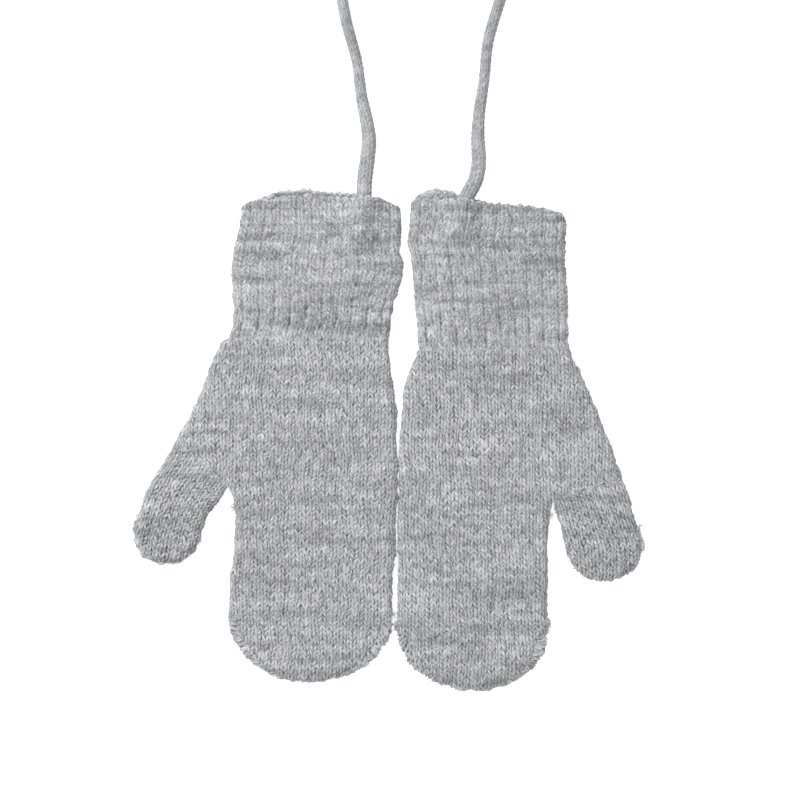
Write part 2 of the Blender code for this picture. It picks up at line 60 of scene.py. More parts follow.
# Sizes shared with the CAD source, in mm
MM = 0.001
HAND_THICK = 5.0
HAND_WALL = 2.2
CUFF_THICK = 5.6
CUFF_WALL = 2.5
CROWN = 0.4
FOLD_TURN = 2.3
LINING_TURN = 0.25
RIBS = 11
HAND_SEAM_RADIUS = 1.6
THUMB_SEAM_RADIUS = 1.3
SEAM_GAP = 0.3
SEAM_HEIGHT = 2.5
SHOULDER_FROM = 9.0
SHOULDER_TO = 13.5
STRING_RADIUS = 2.1
STRING_SPREAD = 5.0
STRING_DEPTH = 9.0
STRING_FADE = 8.0
STRING_SLACK = 0.2
COIL_CENTRE = (12.0, 184.0)
COIL_OUTER_TURN = 27.5
COIL_TURN_STEP = 4.5

# The gauge of the knit: a column of stitches (a wale), a row of them (a course), and how many
# courses each leg of a stitch climbs for each wale that it crosses
WALE = 2.24
COURSE = 1.57
LEG_CLIMB = 2.1
STITCH_COLUMNS = 6
STITCH_ROWS = 3
STITCH_DEPTH = 0.7
SLACK = 0.3
ROW_DIP = 0.3
# The most painted shade between the stitches at an open end or a joint
END_GAP_SHADE = 0.8
FOLD_SWELL = 0.32
SHARP_RIM = 80.0
WELD_STEP = 0.001
NO_LIMIT = -1e3
TINY = 1e-6

# A direction that no fibre has exactly, to measure its sides from
ALMOST_UP = (0.13, 0.21, 0.97)

# How far the side that faces the other mitten swells, against Y: the two touch halfway down
FACING_SWELL = (
    (-40.0, 0.0), (-36.0, 0.65), (-6.0, 0.75), (-1.0, 0.1),
    (5.0, 0.0), (9.0, 0.25), (13.0, 0.6), (18.0, 0.95),
    (22.0, 0.6), (27.0, 0.32),
)

# How far stitches and edges stray, in mm, how much the cloth's height varies, and the distance
# between two crests of each wave
FINE_UNEVEN = 0.22
FINE_LENGTHS = (3.4, 4.1)
WIDE_UNEVEN = 0.3
WIDE_LENGTHS = (19.0, 23.0)
PUFF = 0.07
PUFF_LENGTH = 15.0
SINES = 6
SINES_LEVEL = 2.6

Outline = namedtuple("Outline", "y thumb_side far_side")
Mouth = namedtuple("Mouth", "across front back")
ThumbRow = namedtuple("ThumbRow", "outer_x outer_y inner_x inner_y")
Tip = namedtuple("Tip", "x y half_width depth")
# A shell's points, faces, stitch map, tones, and painted shade in the gaps between stitches
Shell = namedtuple("Shell", "points triangles stitches tone gap")
Fold = namedtuple("Fold", "turn radius inset")
Closing = namedtuple("Closing", "apart lean_x lean_y")
Faces = namedtuple("Faces", "upper lower p y_in_courses fall")
Grain = namedtuple("Grain", "on_cloth stretch scale detail share", defaults=(0.0,))


def listed(kind: type, *rows: tuple) -> tuple:
    """Makes a table: each row becomes one of the given kind."""
    return tuple(kind(*row) for row in rows)


@dataclass(frozen=True)
class Mitten:
    """The shape of one mitten, in the mitten frame."""

    side: str
    mirrored: bool
    seed: int
    cuff: tuple
    mouth: tuple
    gusset: tuple
    palm: tuple
    hand_tip: Tip
    thumb: tuple
    thumb_tip_depth: float
    string_x: float
    string_drift: float
    hand_leads: tuple
    thumb_lead: float


LEFT = Mitten(
    side="left",
    mirrored=False,
    seed=11,
    cuff=listed(
        Outline,
        (76.0, -48.0, 4.0), (69.4, -48.7, 4.4), (61.7, -50.0, 4.4), (55.2, -51.6, 4.9),
        (48.7, -50.9, 3.4), (43.5, -50.1, 2.1), (38.3, -50.2, 1.3), (33.1, -51.9, 0.4),
    ),
    mouth=listed(
        Mouth,
        (0.00, 75.6, 75.6), (0.10, 77.6, 78.4), (0.20, 78.0, 80.5), (0.35, 78.3, 81.8),
        (0.50, 78.5, 81.1), (0.62, 78.5, 80.1), (0.76, 78.5, 79.2), (0.90, 77.6, 77.8),
        (1.00, 75.0, 75.0),
    ),
    gusset=listed(
        Outline,
        (33.1, -52.2, 0.0), (30.5, -54.8, 0.0), (27.9, -56.1, 0.2), (22.7, -58.4, 1.0),
        (17.5, -60.0, 1.6), (12.3, -62.6, 2.2), (7.1, -64.9, 2.6), (0.0, -68.8, 2.6),
    ),
    palm=listed(
        Outline,
        (-14.6, -51.9, 2.6), (-18.8, -50.3, 2.6), (-24.0, -49.6, 2.5), (-32.5, -50.2, 2.3),
        (-42.2, -50.9, 1.9), (-50.0, -51.6, 1.8), (-55.2, -52.2, 1.8),
    ),
    hand_tip=Tip(-25.2, -55.2, 27.0, 23.7),
    thumb=listed(
        ThumbRow,
        (-68.8, 0.0, -51.9, -14.6), (-73.0, -6.8, -54.2, -18.5), (-77.2, -14.3, -57.1, -22.4),
        (-80.8, -21.4, -59.7, -26.6), (-82.6, -29.2, -62.0, -32.5),
    ),
    thumb_tip_depth=9.4,
    string_x=-7.8,
    string_drift=-0.02,
    hand_leads=(2.0, 0.8),
    thumb_lead=4.5,
)

RIGHT = Mitten(
    side="right",
    mirrored=True,
    seed=29,
    cuff=listed(
        Outline,
        (78.0, -57.6, -7.8), (71.7, -58.3, -7.3), (64.3, -58.2, -6.0), (59.1, -57.9, -7.1),
        (53.9, -57.9, -7.8), (46.1, -58.2, -8.4), (38.3, -59.0, -9.1), (29.2, -58.8, -10.1),
    ),
    mouth=listed(
        Mouth,
        (0.00, 71.7, 71.7), (0.10, 74.1, 74.1), (0.20, 75.3, 75.4), (0.40, 76.6, 76.8),
        (0.58, 77.6, 78.4), (0.70, 78.0, 80.0), (0.82, 78.1, 81.4), (0.92, 77.8, 80.5),
        (1.00, 76.5, 77.4),
    ),
    gusset=listed(
        Outline,
        (29.2, -59.0, -9.7), (27.9, -59.6, -9.5), (25.3, -60.6, -8.4), (22.7, -62.0, -7.3),
        (17.5, -64.6, -5.6), (12.3, -67.0, -4.8), (4.0, -70.0, -4.0), (-3.2, -73.0, -3.9),
        (-12.7, -76.7, -3.8), (-19.5, -79.0, -3.8),
    ),
    palm=listed(
        Outline,
        (-19.5, -53.5, -3.8), (-23.0, -52.4, -3.7), (-30.0, -52.1, -3.5), (-42.2, -52.1, -3.1),
        (-52.0, -52.1, -2.8), (-59.1, -52.2, -2.6),
    ),
    hand_tip=Tip(-27.4, -59.1, 24.8, 22.7),
    thumb=listed(
        ThumbRow,
        (-76.7, -12.7, -53.5, -19.5), (-78.9, -18.8, -54.5, -22.7), (-80.5, -26.0, -56.1, -27.3),
        (-82.0, -31.2, -57.9, -32.5), (-82.7, -35.0, -58.7, -35.7),
    ),
    thumb_tip_depth=11.0,
    string_x=-24.7,
    string_drift=0.24,
    hand_leads=(4.5, 3.8),
    thumb_lead=9.0,
)

# The way of the string out of each cuff: x, y and height, in the world's frame
LEFT_STRING = (
    (-8.0, 70.4, 4.9), (-7.8, 78.9, 4.9), (-7.6, 84.4, 4.0), (-6.8, 90.9, 2.9),
    (-6.2, 97.4, 2.4), (-7.0, 103.8, 2.4), (-8.4, 110.3, 2.4), (-10.2, 123.3, 2.4),
    (-13.6, 136.3, 2.4), (-15.0, 144.0, 2.4), (-15.5, 154.0, 2.4), (-15.5, 168.0, 2.4),
    (-15.5, 176.0, 2.4),
)
RIGHT_STRING = (
    (22.7, 68.5, 4.9), (24.7, 76.9, 4.9), (26.0, 79.8, 4.9), (28.4, 84.4, 4.2),
    (29.5, 90.9, 3.0), (29.2, 97.4, 2.4), (29.4, 103.8, 2.4), (31.2, 116.8, 2.4),
    (32.6, 129.8, 2.4), (36.3, 142.8, 2.4), (39.2, 154.0, 2.4), (39.5, 162.0, 3.0),
    (39.5, 170.0, 5.0), (39.5, 177.0, 6.5),
)


# Where the ends of the overlocking threads stick out: x, y and the way that they point, in the
# world's frame
TUFTS = {
    "left": (
        (-51.4, -57.8, -1.0, 0.2),
        (1.4, -57.4, 1.0, 0.0),
        (-81.9, -25.0, -1.0, 0.3),
        (-62.0, -32.6, 0.9, -0.4),
        (-51.2, -23.0, -1.0, -0.4),
    ),
    "right": (
        (51.6, -61.0, 1.0, 0.2),
        (3.6, -60.4, -1.0, 0.1),
        (81.6, -28.4, 1.0, 0.3),
        (82.0, -33.0, 1.0, 0.1),
        (59.2, -38.6, -1.0, -0.3),
        (53.0, -24.6, 1.0, -0.6),
    ),
}


class Slot(Enum):
    """The record's material slots."""

    PLAIN = "plain_knit"
    RIB = "rib_knit"
    THREAD = "overlock_thread"
    STRING = "knitted_string"


class Chance(IntEnum):
    """What each source of chance is for, as a step from a mitten's own seed."""

    CUFF = 1
    SEAM = 5
    LOOPS = 6
    SWELL = 7
    STRAY = 8
    LEAN = 9
    VALLEYS = 12
    FRONT = 15
    BACK = 16
    LIP = 17
    FIBRES = 40
    SLACK = 100


# Curves and waves
def read_curve(at: list, values: list, position: np.ndarray) -> np.ndarray:
    """Reads a smooth curve that passes through each value of a table.

    A cubic between neighbouring values, with the slopes that the table's gradient gives.

    Args:
        at: where the table's values stand.
        values: the table's values.
        position: where to read.

    Returns:
        The curve's value at each position.
    """
    order = np.argsort(at)
    x = np.asarray(at, float)[order]
    y = np.asarray(values, float)[order]
    slope = np.gradient(y, x)
    position = np.clip(position, x[0], x[-1])
    i = np.clip(np.searchsorted(x, position) - 1, 0, len(x) - 2)
    width = x[i + 1] - x[i]
    t = (position - x[i]) / width
    rise = y[i + 1] - y[i]
    bend_a = slope[i] * width - rise
    bend_b = rise - slope[i + 1] * width
    return y[i] + rise * t + t * (1 - t) * (bend_a * (1 - t) + bend_b * t)


def column(table: tuple, name: str) -> list:
    """Lists one named column of a table."""
    return [getattr(row, name) for row in table]


def edge(table: tuple, name: str, y: np.ndarray) -> np.ndarray:
    """Reads how far out an edge of the cloth lies at height y."""
    return read_curve(column(table, "y"), column(table, name), y)


def run_along(line: np.ndarray) -> np.ndarray:
    """Measures how far along a line each of its points lies."""
    return np.concatenate([[0.0], np.cumsum(np.linalg.norm(np.diff(line, axis=0), axis=1))])


def crowned(thick: float, across: np.ndarray) -> np.ndarray:
    """The height of an upper face that falls a little to both sides, by a parabola."""
    return thick - CROWN * (2 * across - 1) ** 2


def smoothstep(value: np.ndarray) -> np.ndarray:
    """Eases from 0 to 1 between 0 and 1."""
    t = np.clip(value, 0.0, 1.0)
    return t * t * (3 - 2 * t)


def waves(seed: int, x: np.ndarray, y: np.ndarray, length: float) -> np.ndarray:
    """A smooth uneven field between about -1 and 1: a sum of sines in random directions.

    Args:
        seed: picks the directions and phases.
        x: where to read it, in mm.
        y: where to read it, in mm.
        length: the usual distance between two crests, in mm.

    Returns:
        The field at each point.
    """
    rng = np.random.default_rng(seed)
    bearing = rng.uniform(0, 2 * math.pi, SINES)
    phase = rng.uniform(0, 2 * math.pi, SINES)
    stretch = rng.uniform(0.7, 1.6, SINES)
    total = np.zeros(np.broadcast(x, y).shape)
    for turn, start, size in zip(bearing, phase, stretch):
        along = x * math.cos(turn) + y * math.sin(turn)
        total += np.sin(2 * math.pi * along / (length * size) + start)
    return total / SINES_LEVEL


def by_hand(seed: int, points: np.ndarray) -> np.ndarray:
    """Moves points a little, as uneven stitches and soft cloth do: a fine and a wide wave field.

    Args:
        seed: picks the fields; pieces that meet share it.
        points: places in the mitten frame, in mm.

    Returns:
        The moved places.
    """
    x, y, z = points.T
    moved = points.copy()
    for axis in range(2):
        fine = FINE_UNEVEN * waves(seed + 2 * axis, x, y, FINE_LENGTHS[axis])
        wide = WIDE_UNEVEN * waves(seed + 2 * axis + 1, x, y, WIDE_LENGTHS[axis])
        moved[:, axis] += fine + wide
    puff = 1 - PUFF * (0.5 + 0.5 * waves(seed + 4, x, y, PUFF_LENGTH))
    moved[:, 2] = z * np.clip(puff, 0.0, 1.0)
    return moved


# Stitches
@dataclass(frozen=True)
class Stitches:
    """The relief and the tone of a field of plain stitches.

    A stitch is two plump legs that climb from the edges of its column to its middle. The
    lattice has p, which grows by 1 for each wale, and r, which grows by 1 for each course
    and is constant along a leg. The tones repeat after so many courses and legs, and the
    streaks are sums over a run of legs.
    """

    seed: int
    courses: int = 512
    legs: int = 256
    run: int = 9
    streak_share: float = 0.05
    fleck_share: float = 0.14
    end_roundness: float = 0.93
    side_roundness: float = 0.90
    border: float = 1e-4

    def spread(self, p: np.ndarray) -> np.ndarray:
        """How far p is from the middle of its wale, from 0 to a half."""
        return np.abs(p - np.floor(p) - 0.5)

    def leg(self, p: np.ndarray, y_in_courses: np.ndarray) -> np.ndarray:
        """The row coordinate r at a place: it follows the legs up to the middle of the wale."""
        return y_in_courses + LEG_CLIMB * self.spread(p)

    def fall(self, p: np.ndarray, y_in_courses: np.ndarray) -> np.ndarray:
        """How far the surface lies below the tops of the stitches, from 0 to 1.

        One minus the product of two round profiles, across the leg and along its length, and
        of a cosine that dips between two courses.

        Args:
            p: the place across, in wales.
            y_in_courses: the place along the wale, in courses.

        Returns:
            0 on the top of a leg and 1 in the deepest gap.
        """
        across = np.abs(self.spread(p) - 0.25) / 0.25
        r = self.leg(p, y_in_courses)
        along = 2 * np.abs(r - np.floor(r) - 0.5)
        length_profile = np.sqrt(1 - (self.end_roundness * across) ** 2)
        width_profile = np.sqrt(1 - (self.side_roundness * along) ** 2)
        row_dip = ROW_DIP * (0.5 - 0.5 * np.cos(2 * math.pi * y_in_courses))
        plump = length_profile * width_profile * (1 - row_dip)
        return 1 - plump * (1 - SLACK * self.slack(p, y_in_courses))

    def tone_table(self) -> np.ndarray:
        """Makes the tones: a running sum of chance along each course, and single flecks.

        Returns:
            One tone for each leg of a stitch, from 0 to 1.
        """
        rng = np.random.default_rng(self.seed)
        raw = rng.normal(size=(self.courses, self.legs + self.run))
        summed = np.cumsum(raw, axis=1)
        streak = (summed[:, self.run :] - summed[:, : -self.run]) / math.sqrt(self.run)
        fleck = rng.normal(size=streak.shape)
        mixed = 0.5 + self.streak_share * streak + self.fleck_share * fleck
        return np.clip(mixed, 0.0, 1.0)

    def tone(self, p: np.ndarray, y_in_courses: np.ndarray) -> np.ndarray:
        """Looks up the tone of the leg that each place belongs to."""
        return self.look_up(self.tone_table(), p, y_in_courses)

    def look_up(self, table: np.ndarray, p: np.ndarray, y_in_courses: np.ndarray) -> np.ndarray:
        """Reads a table that has a value for each leg of each course."""
        row = np.floor(self.leg(p, y_in_courses) + self.border).astype(int) % self.courses
        place = np.floor(2 * p + self.border).astype(int) % self.legs
        return table[row, place]

    def slack(self, p: np.ndarray, y_in_courses: np.ndarray) -> np.ndarray:
        """How far each leg as a whole lies back, from 0 to 1: no two are pulled up alike."""
        rng = np.random.default_rng(self.seed + Chance.SLACK)
        return self.look_up(rng.random((self.courses, self.legs)), p, y_in_courses)


# Meshes
def grid_faces(index: np.ndarray, flip: bool = False) -> np.ndarray:
    """Lists the triangles of a grid of points.

    Args:
        index: the number of each point, row by row.
        flip: turns the faces the other way round.

    Returns:
        Three point numbers for each triangle.
    """
    a = index[:-1, :-1].ravel()
    b = index[:-1, 1:].ravel()
    c = index[1:, 1:].ravel()
    d = index[1:, :-1].ravel()
    faces = np.vstack([np.column_stack([a, d, c]), np.column_stack([a, c, b])])
    return faces[:, ::-1] if flip else faces


@dataclass
class ShellMaker:
    """Gathers grids of points, with their stitches and the painted shade in their gaps, into one
    shell.
    """

    stitches: Stitches
    grids: list = field(default_factory=list)
    triangles: list = field(default_factory=list)
    count: int = 0

    def add(
        self,
        points: np.ndarray,
        p: np.ndarray,
        q: np.ndarray,
        gap: np.ndarray,
        flip: bool = False,
        backward: bool = False,
    ) -> np.ndarray:
        """Adds a grid of points and the faces between them.

        Args:
            points: the places, in mm.
            p: each place across, in wales.
            q: each place along, in courses.
            gap: how deep each place lies between the stitches, which sets its painted shade.
            flip: turns the faces the other way round.
            backward: gives out the tones from the last point to the first.

        Returns:
            The number of each point.
        """
        index = self.count + np.arange(q.size).reshape(q.shape)
        self.count += q.size
        stitches = np.column_stack([p.ravel(), self.stitches.leg(p, q).ravel()])
        tone = self.stitches.tone(p, q).ravel()
        tone = tone[::-1] if backward else tone
        self.grids.append((points.reshape(-1, 3), stitches, tone, gap.ravel()))
        self.triangles.append(grid_faces(index, flip))
        return index

    def join(self, first: np.ndarray, second: np.ndarray, flip: bool = False) -> None:
        """Adds the faces between two rows of points."""
        self.triangles.append(grid_faces(np.stack([first, second]), flip))

    def shell(self) -> Shell:
        """Joins all that was added."""
        points, stitches, tone, gap = map(np.concatenate, zip(*self.grids))
        return Shell(points, np.vstack(self.triangles), stitches, tone, gap)


def drop_folded(faces: np.ndarray) -> np.ndarray:
    """Drops faces that lie on their own mirror image, in pairs, so a closed mesh stays closed.

    Args:
        faces: three point numbers for each triangle.

    Returns:
        The triangles that stay: one of each odd set, the way round that most of them have.
    """
    kinds = np.sort(faces, axis=1)
    _, same, count = np.unique(kinds, axis=0, return_inverse=True, return_counts=True)
    same = same.ravel()
    lowest = np.argmin(faces, axis=1)
    row = np.arange(len(faces))
    follows = faces[row, (lowest + 1) % 3] < faces[row, (lowest + 2) % 3]
    sense = np.where(follows, 1, -1)
    net = np.bincount(same, weights=sense)
    kept = np.flatnonzero((count[same] % 2 == 1) & (sense * net[same] > 0))
    _, one_each = np.unique(same[kept], return_index=True)
    return faces[kept[one_each]]


def weld(points: np.ndarray, triangles: np.ndarray) -> tuple[np.ndarray, np.ndarray]:
    """Joins points that coincide and drops the faces that this leaves empty.

    Args:
        points: the places of the points, in mm.
        triangles: three point numbers for each triangle.

    Returns:
        The numbers of the points that stay, and the triangles in terms of them.
    """
    keys = np.round(points / WELD_STEP).astype(np.int64)
    _, first, back = np.unique(keys, axis=0, return_index=True, return_inverse=True)
    faces = back.ravel()[triangles]
    real = (faces != np.roll(faces, 1, axis=1)).all(axis=1)
    faces = drop_folded(faces[real])
    used, faces = np.unique(faces, return_inverse=True)
    return first[used], faces.reshape(-1, 3)


def add_object(name: str, data: bpy.types.ID) -> bpy.types.Object:
    """Puts a mesh, a light or a camera into the scene as an object.

    Args:
        name: the object's name.
        data: what it shows.

    Returns:
        The new object, at the origin.
    """
    thing = bpy.data.objects.new(name, data)
    bpy.context.scene.collection.objects.link(thing)
    return thing


def make_piece(name: str, shell: Shell, mitten: Mitten | None) -> bpy.types.Object:
    """Makes an object of a shell, with its stitch map, tones and painted shade in the gaps.

    Args:
        name: the piece's name.
        shell: its points in the mitten frame in mm, triangles, and values for each point.
        mitten: whose frame the points are in; the right one's faces turn round as X does.

    Returns:
        The new object, at the origin.
    """
    keep, faces = weld(shell.points, shell.triangles)
    points = shell.points[keep]
    if mitten:
        points = by_hand(mitten.seed, points)
    if mitten and mitten.mirrored:
        points = points * np.array([-1.0, 1.0, 1.0])
        faces = faces[:, ::-1]
    mesh = bpy.data.meshes.new(name)
    mesh.from_pydata(points * MM, [], faces)
    corners = np.empty(len(mesh.loops), int)
    mesh.loops.foreach_get("vertex_index", corners)
    uv = mesh.uv_layers.new(name="stitches")
    uv.data.foreach_set("uv", shell.stitches[keep][corners].astype(np.float32).ravel())
    # Each point's tone and painted shade go to the material as attributes
    for label, values in (("tone", shell.tone), ("gap", shell.gap)):
        layer = mesh.attributes.new(label, "FLOAT", "POINT")
        layer.data.foreach_set("value", values[keep].astype(np.float32))
    mesh.shade_smooth()
    mesh.set_sharp_from_angle(angle=math.radians(SHARP_RIM))
    mesh.validate()
    log.info("%s: %d triangles", name, len(faces))
    return add_object(name, mesh)


# Flat tubes of plain knit
@dataclass(frozen=True)
class TipShape:
    """The rounded tip of a tube: half an ellipse, with a shoulder that makes room for the seam.

    The covers say how far the cloth reaches over the seam at the tip's sides and at its end.
    """

    x: float
    y: float
    half_width: float
    depth: float
    seam_radius: float
    side_cover: float
    tip_cover: float
    closing_width: float = 3.0
    least_closing: float = 1.0
    shoulder_drop: float = 5.5
    shoulder_ease: float = 1.8

    def room(self) -> float:
        """How far the cloth stays in from the tip's outline."""
        return self.seam_radius + SEAM_GAP

    def axes(self, inset: float) -> tuple[float, float]:
        """The half width and the depth of the cloth's own ellipse."""
        wide = self.half_width - self.room() + self.side_cover - inset
        return wide, self.depth - self.room() + self.tip_cover - inset

    def half(self, y: np.ndarray, inset: float) -> np.ndarray:
        """Half the width at height y, read from points round the shoulder and the ellipse.

        Args:
            y: the heights.
            inset: how far inside the cloth's outer face this surface is.

        Returns:
            The half width at each height.
        """
        angle = np.linspace(0.0, 90.0, 181)
        ease = smoothstep((angle - SHOULDER_FROM) / (SHOULDER_TO - SHOULDER_FROM))
        wide = self.half_width - inset - ease * (self.room() - self.side_cover)
        deep = self.depth - inset - ease * (self.room() - self.tip_cover)
        reach = deep * np.sin(np.radians(angle))
        return np.interp(self.y - y, reach, wide * np.cos(np.radians(angle)))

    def straight(self, y: np.ndarray) -> np.ndarray:
        """1 above the shoulder and 0 below it."""
        return smoothstep((y - self.y + self.shoulder_drop) / self.shoulder_ease)

    def lowest(self, s: np.ndarray, inset: float) -> np.ndarray:
        """The lowest y of each column: on the ellipse, up to where it runs at 45 degrees.

        Args:
            s: the columns' places.
            inset: how far inside the cloth's outer face this surface is.

        Returns:
            The y at which each column ends.
        """
        wide, deep = self.axes(inset)
        turning = math.atan2(deep, wide)
        across = np.clip((s - self.x) / wide, -math.cos(turning), math.cos(turning))
        return self.y - deep * np.sqrt(1 - across**2)

    def closing(self, x: np.ndarray, y: np.ndarray, inset: float) -> Closing:
        """Works out how the two layers close toward the edge, on a quarter of an ellipse.

        Args:
            x: the place across.
            y: the place along.
            inset: how far inside the cloth's outer face this surface is.

        Returns:
            How far apart the layers are, from 1 to 0 at the edge, and the edge's direction.
        """
        wide, deep = self.axes(inset)
        u = (x - self.x) / wide
        v = np.minimum(y - self.y, 0.0) / deep
        rho = np.sqrt(u**2 + v**2)
        width = max(self.closing_width - inset, self.least_closing)
        sine = 1 - np.clip((1 - rho) * deep / width, 0.0, 1.0)
        below = 1 - self.straight(y)
        apart = 1 - below + below * np.sqrt(np.maximum(1 - sine**2, 0.0))
        size = np.maximum(np.sqrt((u / wide) ** 2 + (v / deep) ** 2), TINY)
        return Closing(apart, below * sine * u / wide / size, below * sine * v / deep / size)


@dataclass
class FlatTube:
    """A flat tube of plain knit, described in its own plane.

    A place on it is s, the distance across in mm as the cloth runs round its folds, and y,
    the height along its wales. It runs from its tip to its border, which is open. Subclasses
    say where its edges are, and where it meets another piece.
    """

    mitten: Mitten
    wall: float = HAND_WALL
    lining_rows: int = 24
    rim_level: float = 0.4
    rim_ease: float = 0.8
    gap_shade_ease: float = 1.2
    stitches: Stitches = field(init=False)
    tip: TipShape = field(init=False)
    border: float = field(init=False)

    def __post_init__(self) -> None:
        """Gives the cloth its own stitches."""
        self.stitches = Stitches(seed=self.mitten.seed)

    def edges(self, y: np.ndarray, inset: float) -> tuple[np.ndarray, np.ndarray]:
        """The two edges in plan at height y."""
        raise NotImplementedError

    def extents(self, y: np.ndarray) -> tuple[np.ndarray, np.ndarray]:
        """How much of a quarter turn each fold makes at height y."""
        raise NotImplementedError

    def ends(self, s: np.ndarray, inset: float) -> tuple[np.ndarray, np.ndarray]:
        """The lowest and the highest y of a column: from the tip's ellipse to the border."""
        return self.tip.lowest(s, inset), np.full(np.shape(s), self.border)

    def near_limit(self, y: np.ndarray, start: np.ndarray, fold: Fold) -> np.ndarray:
        """The least s beside another piece, or a number below all of them."""
        return np.full(np.shape(y), NO_LIMIT)

    def place(self, x: np.ndarray, y: np.ndarray) -> tuple[np.ndarray, np.ndarray]:
        """Turns a place in the tube's plane into the mitten frame."""
        return x, y

    def top_height(self, x: np.ndarray, y: np.ndarray) -> np.ndarray:
        """The height of the upper face's stitch tops."""
        raise NotImplementedError

    def gap_shade_share(self, y: np.ndarray) -> np.ndarray:
        """How deep the painted shade in the gaps between the stitches is at height y."""
        return np.ones(np.shape(y))

    def surface(self, s: np.ndarray, y: np.ndarray, inset: float, relief: float) -> Faces:
        """Works out both faces of the tube, one above the other.

        The fold is a quarter of an ellipse: past its start the angle grows evenly with s, x
        follows its sine and the height its cosine. The relief moves each point inward along
        the face's normal, and the swell moves the folds outward.

        Args:
            s: the columns' places, before they are held at the edges.
            y: the rows' places, before they are held at the ends.
            inset: how far inside the cloth's outer face this surface is.
            relief: the depth of the stitches.

        Returns:
            The points above, the points below, p, y in courses and the fall of the stitches,
            which sets their painted shade and is held low at the ends.
        """
        turn = LINING_TURN if inset else FOLD_TURN
        half = HAND_THICK / 2 - inset
        radius = (turn + half) / 2
        low, high = self.ends(s, inset)
        y = np.clip(y, low, high)
        left, right = self.edges(y, inset)
        left_extent, right_extent = self.extents(y)
        left_angle = left_extent * math.pi / 2
        right_angle = right_extent * math.pi / 2
        start = left + turn * np.sin(left_angle)
        stop = right - turn * np.sin(right_angle)
        limit = self.near_limit(y, start, Fold(turn, radius, inset))
        least = np.maximum(start - radius * left_angle, limit)
        most = np.maximum(stop + radius * right_angle, least)
        s = np.clip(s, least, most)
        angle_a = np.clip((start - s) / radius, 0.0, left_angle)
        angle_b = np.clip((s - stop) / radius, 0.0, right_angle)
        x = s + radius * (angle_a - angle_b) - turn * (np.sin(angle_a) - np.sin(angle_b))
        apart, lean_x, lean_y = self.tip.closing(x, y, inset)
        upright = np.cos(angle_a) * np.cos(angle_b) * apart
        p = s / WALE
        y_in_courses = y / COURSE
        fall = self.stitches.fall(p, y_in_courses)
        beside = np.minimum(high - y, s - limit)
        level = self.rim_level + (fall - self.rim_level) * smoothstep(beside / self.rim_ease)
        side = np.sin(angle_b) - np.sin(angle_a) + lean_x
        size = np.sqrt(side**2 + lean_y**2 + upright**2)
        sunk = relief * level / size
        facing = np.clip(side, 0.0, 1.0)
        swell = FOLD_SWELL + facing * (np.interp(y, *zip(*FACING_SWELL)) - FOLD_SWELL)
        shrink = sunk - (0.0 if inset else swell)
        middle = HAND_THICK / 2
        plan_x, plan_y = self.place(x - side * shrink, y - lean_y * shrink)
        top = self.top_height(plan_x, plan_y) - inset
        above = middle + (top - middle) * upright - sunk * upright
        below = middle - half * upright + sunk * upright
        upper = np.stack([plan_x, plan_y, above], axis=-1)
        lower = np.stack([plan_x, plan_y, below], axis=-1)
        # The painted shade between the stitches is held low at the open end and at the thumb's
        # joint
        fall = np.minimum(fall, END_GAP_SHADE + smoothstep(beside / self.gap_shade_ease))
        return Faces(upper, lower, p, y_in_courses, fall)

    def grid(
        self, span: tuple[float, float], reach: tuple[float, float], sheared: bool
    ) -> tuple[np.ndarray, np.ndarray]:
        """Lays out the columns and rows of points, with six columns to a wale.

        Args:
            span: the least and the greatest s.
            reach: the lowest and the highest y.
            sheared: whether the rows follow the legs of the stitches.

        Returns:
            s and y of each point.
        """
        step = WALE / STITCH_COLUMNS
        first = math.floor(span[0] / step) - 1
        last = math.ceil(span[1] / step) + 1
        s = np.arange(first, last + 1) * step
        if not sheared:
            rows = np.linspace(reach[1], reach[0], self.lining_rows)
            return np.meshgrid(s, rows)
        row_step = COURSE / STITCH_ROWS
        top = math.ceil((reach[1] + LEG_CLIMB * COURSE / 2) / row_step) + 1
        bottom = math.floor(reach[0] / row_step) - 1
        rows = np.arange(top, bottom - 1, -1) * row_step
        spread = self.stitches.spread(np.arange(first, last + 1) / STITCH_COLUMNS)
        y = rows[:, None] - LEG_CLIMB * COURSE * spread[None, :]
        return np.broadcast_to(s, y.shape).copy(), y

    def shell(self, span: tuple[float, float], reach: tuple[float, float]) -> Shell:
        """Builds the whole hollow shell: both outer faces, the lining and the open end.

        Args:
            span: the least and the greatest s.
            reach: the lowest and the highest y.

        Returns:
            The closed shell in the mitten frame.
        """
        maker = ShellMaker(self.stitches)
        ends = []
        sides = (((slice(None), 0), True), ((slice(None), -1), False), ((-1, slice(None)), False))
        for inset, relief in ((0.0, STITCH_DEPTH), (self.wall, 0.0)):
            inside = bool(inset)
            s, y = self.grid(span, reach, sheared=not inside)
            upper, lower, p, q, fall = self.surface(s, y, inset, relief)
            # Painted shade in the gaps between the stitches
            gap = fall * self.gap_shade_share(y)
            over = maker.add(upper, p, q, gap, flip=inside)
            under = maker.add(lower, p, q, gap, flip=not inside, backward=inside)
            for line, forward in sides:
                maker.join(over[line], under[line], flip=forward != inside)
            ends.append((over[0], under[0]))
        outer, inner = ends
        maker.join(inner[0], outer[0])
        maker.join(outer[1], inner[1])
        return maker.shell()


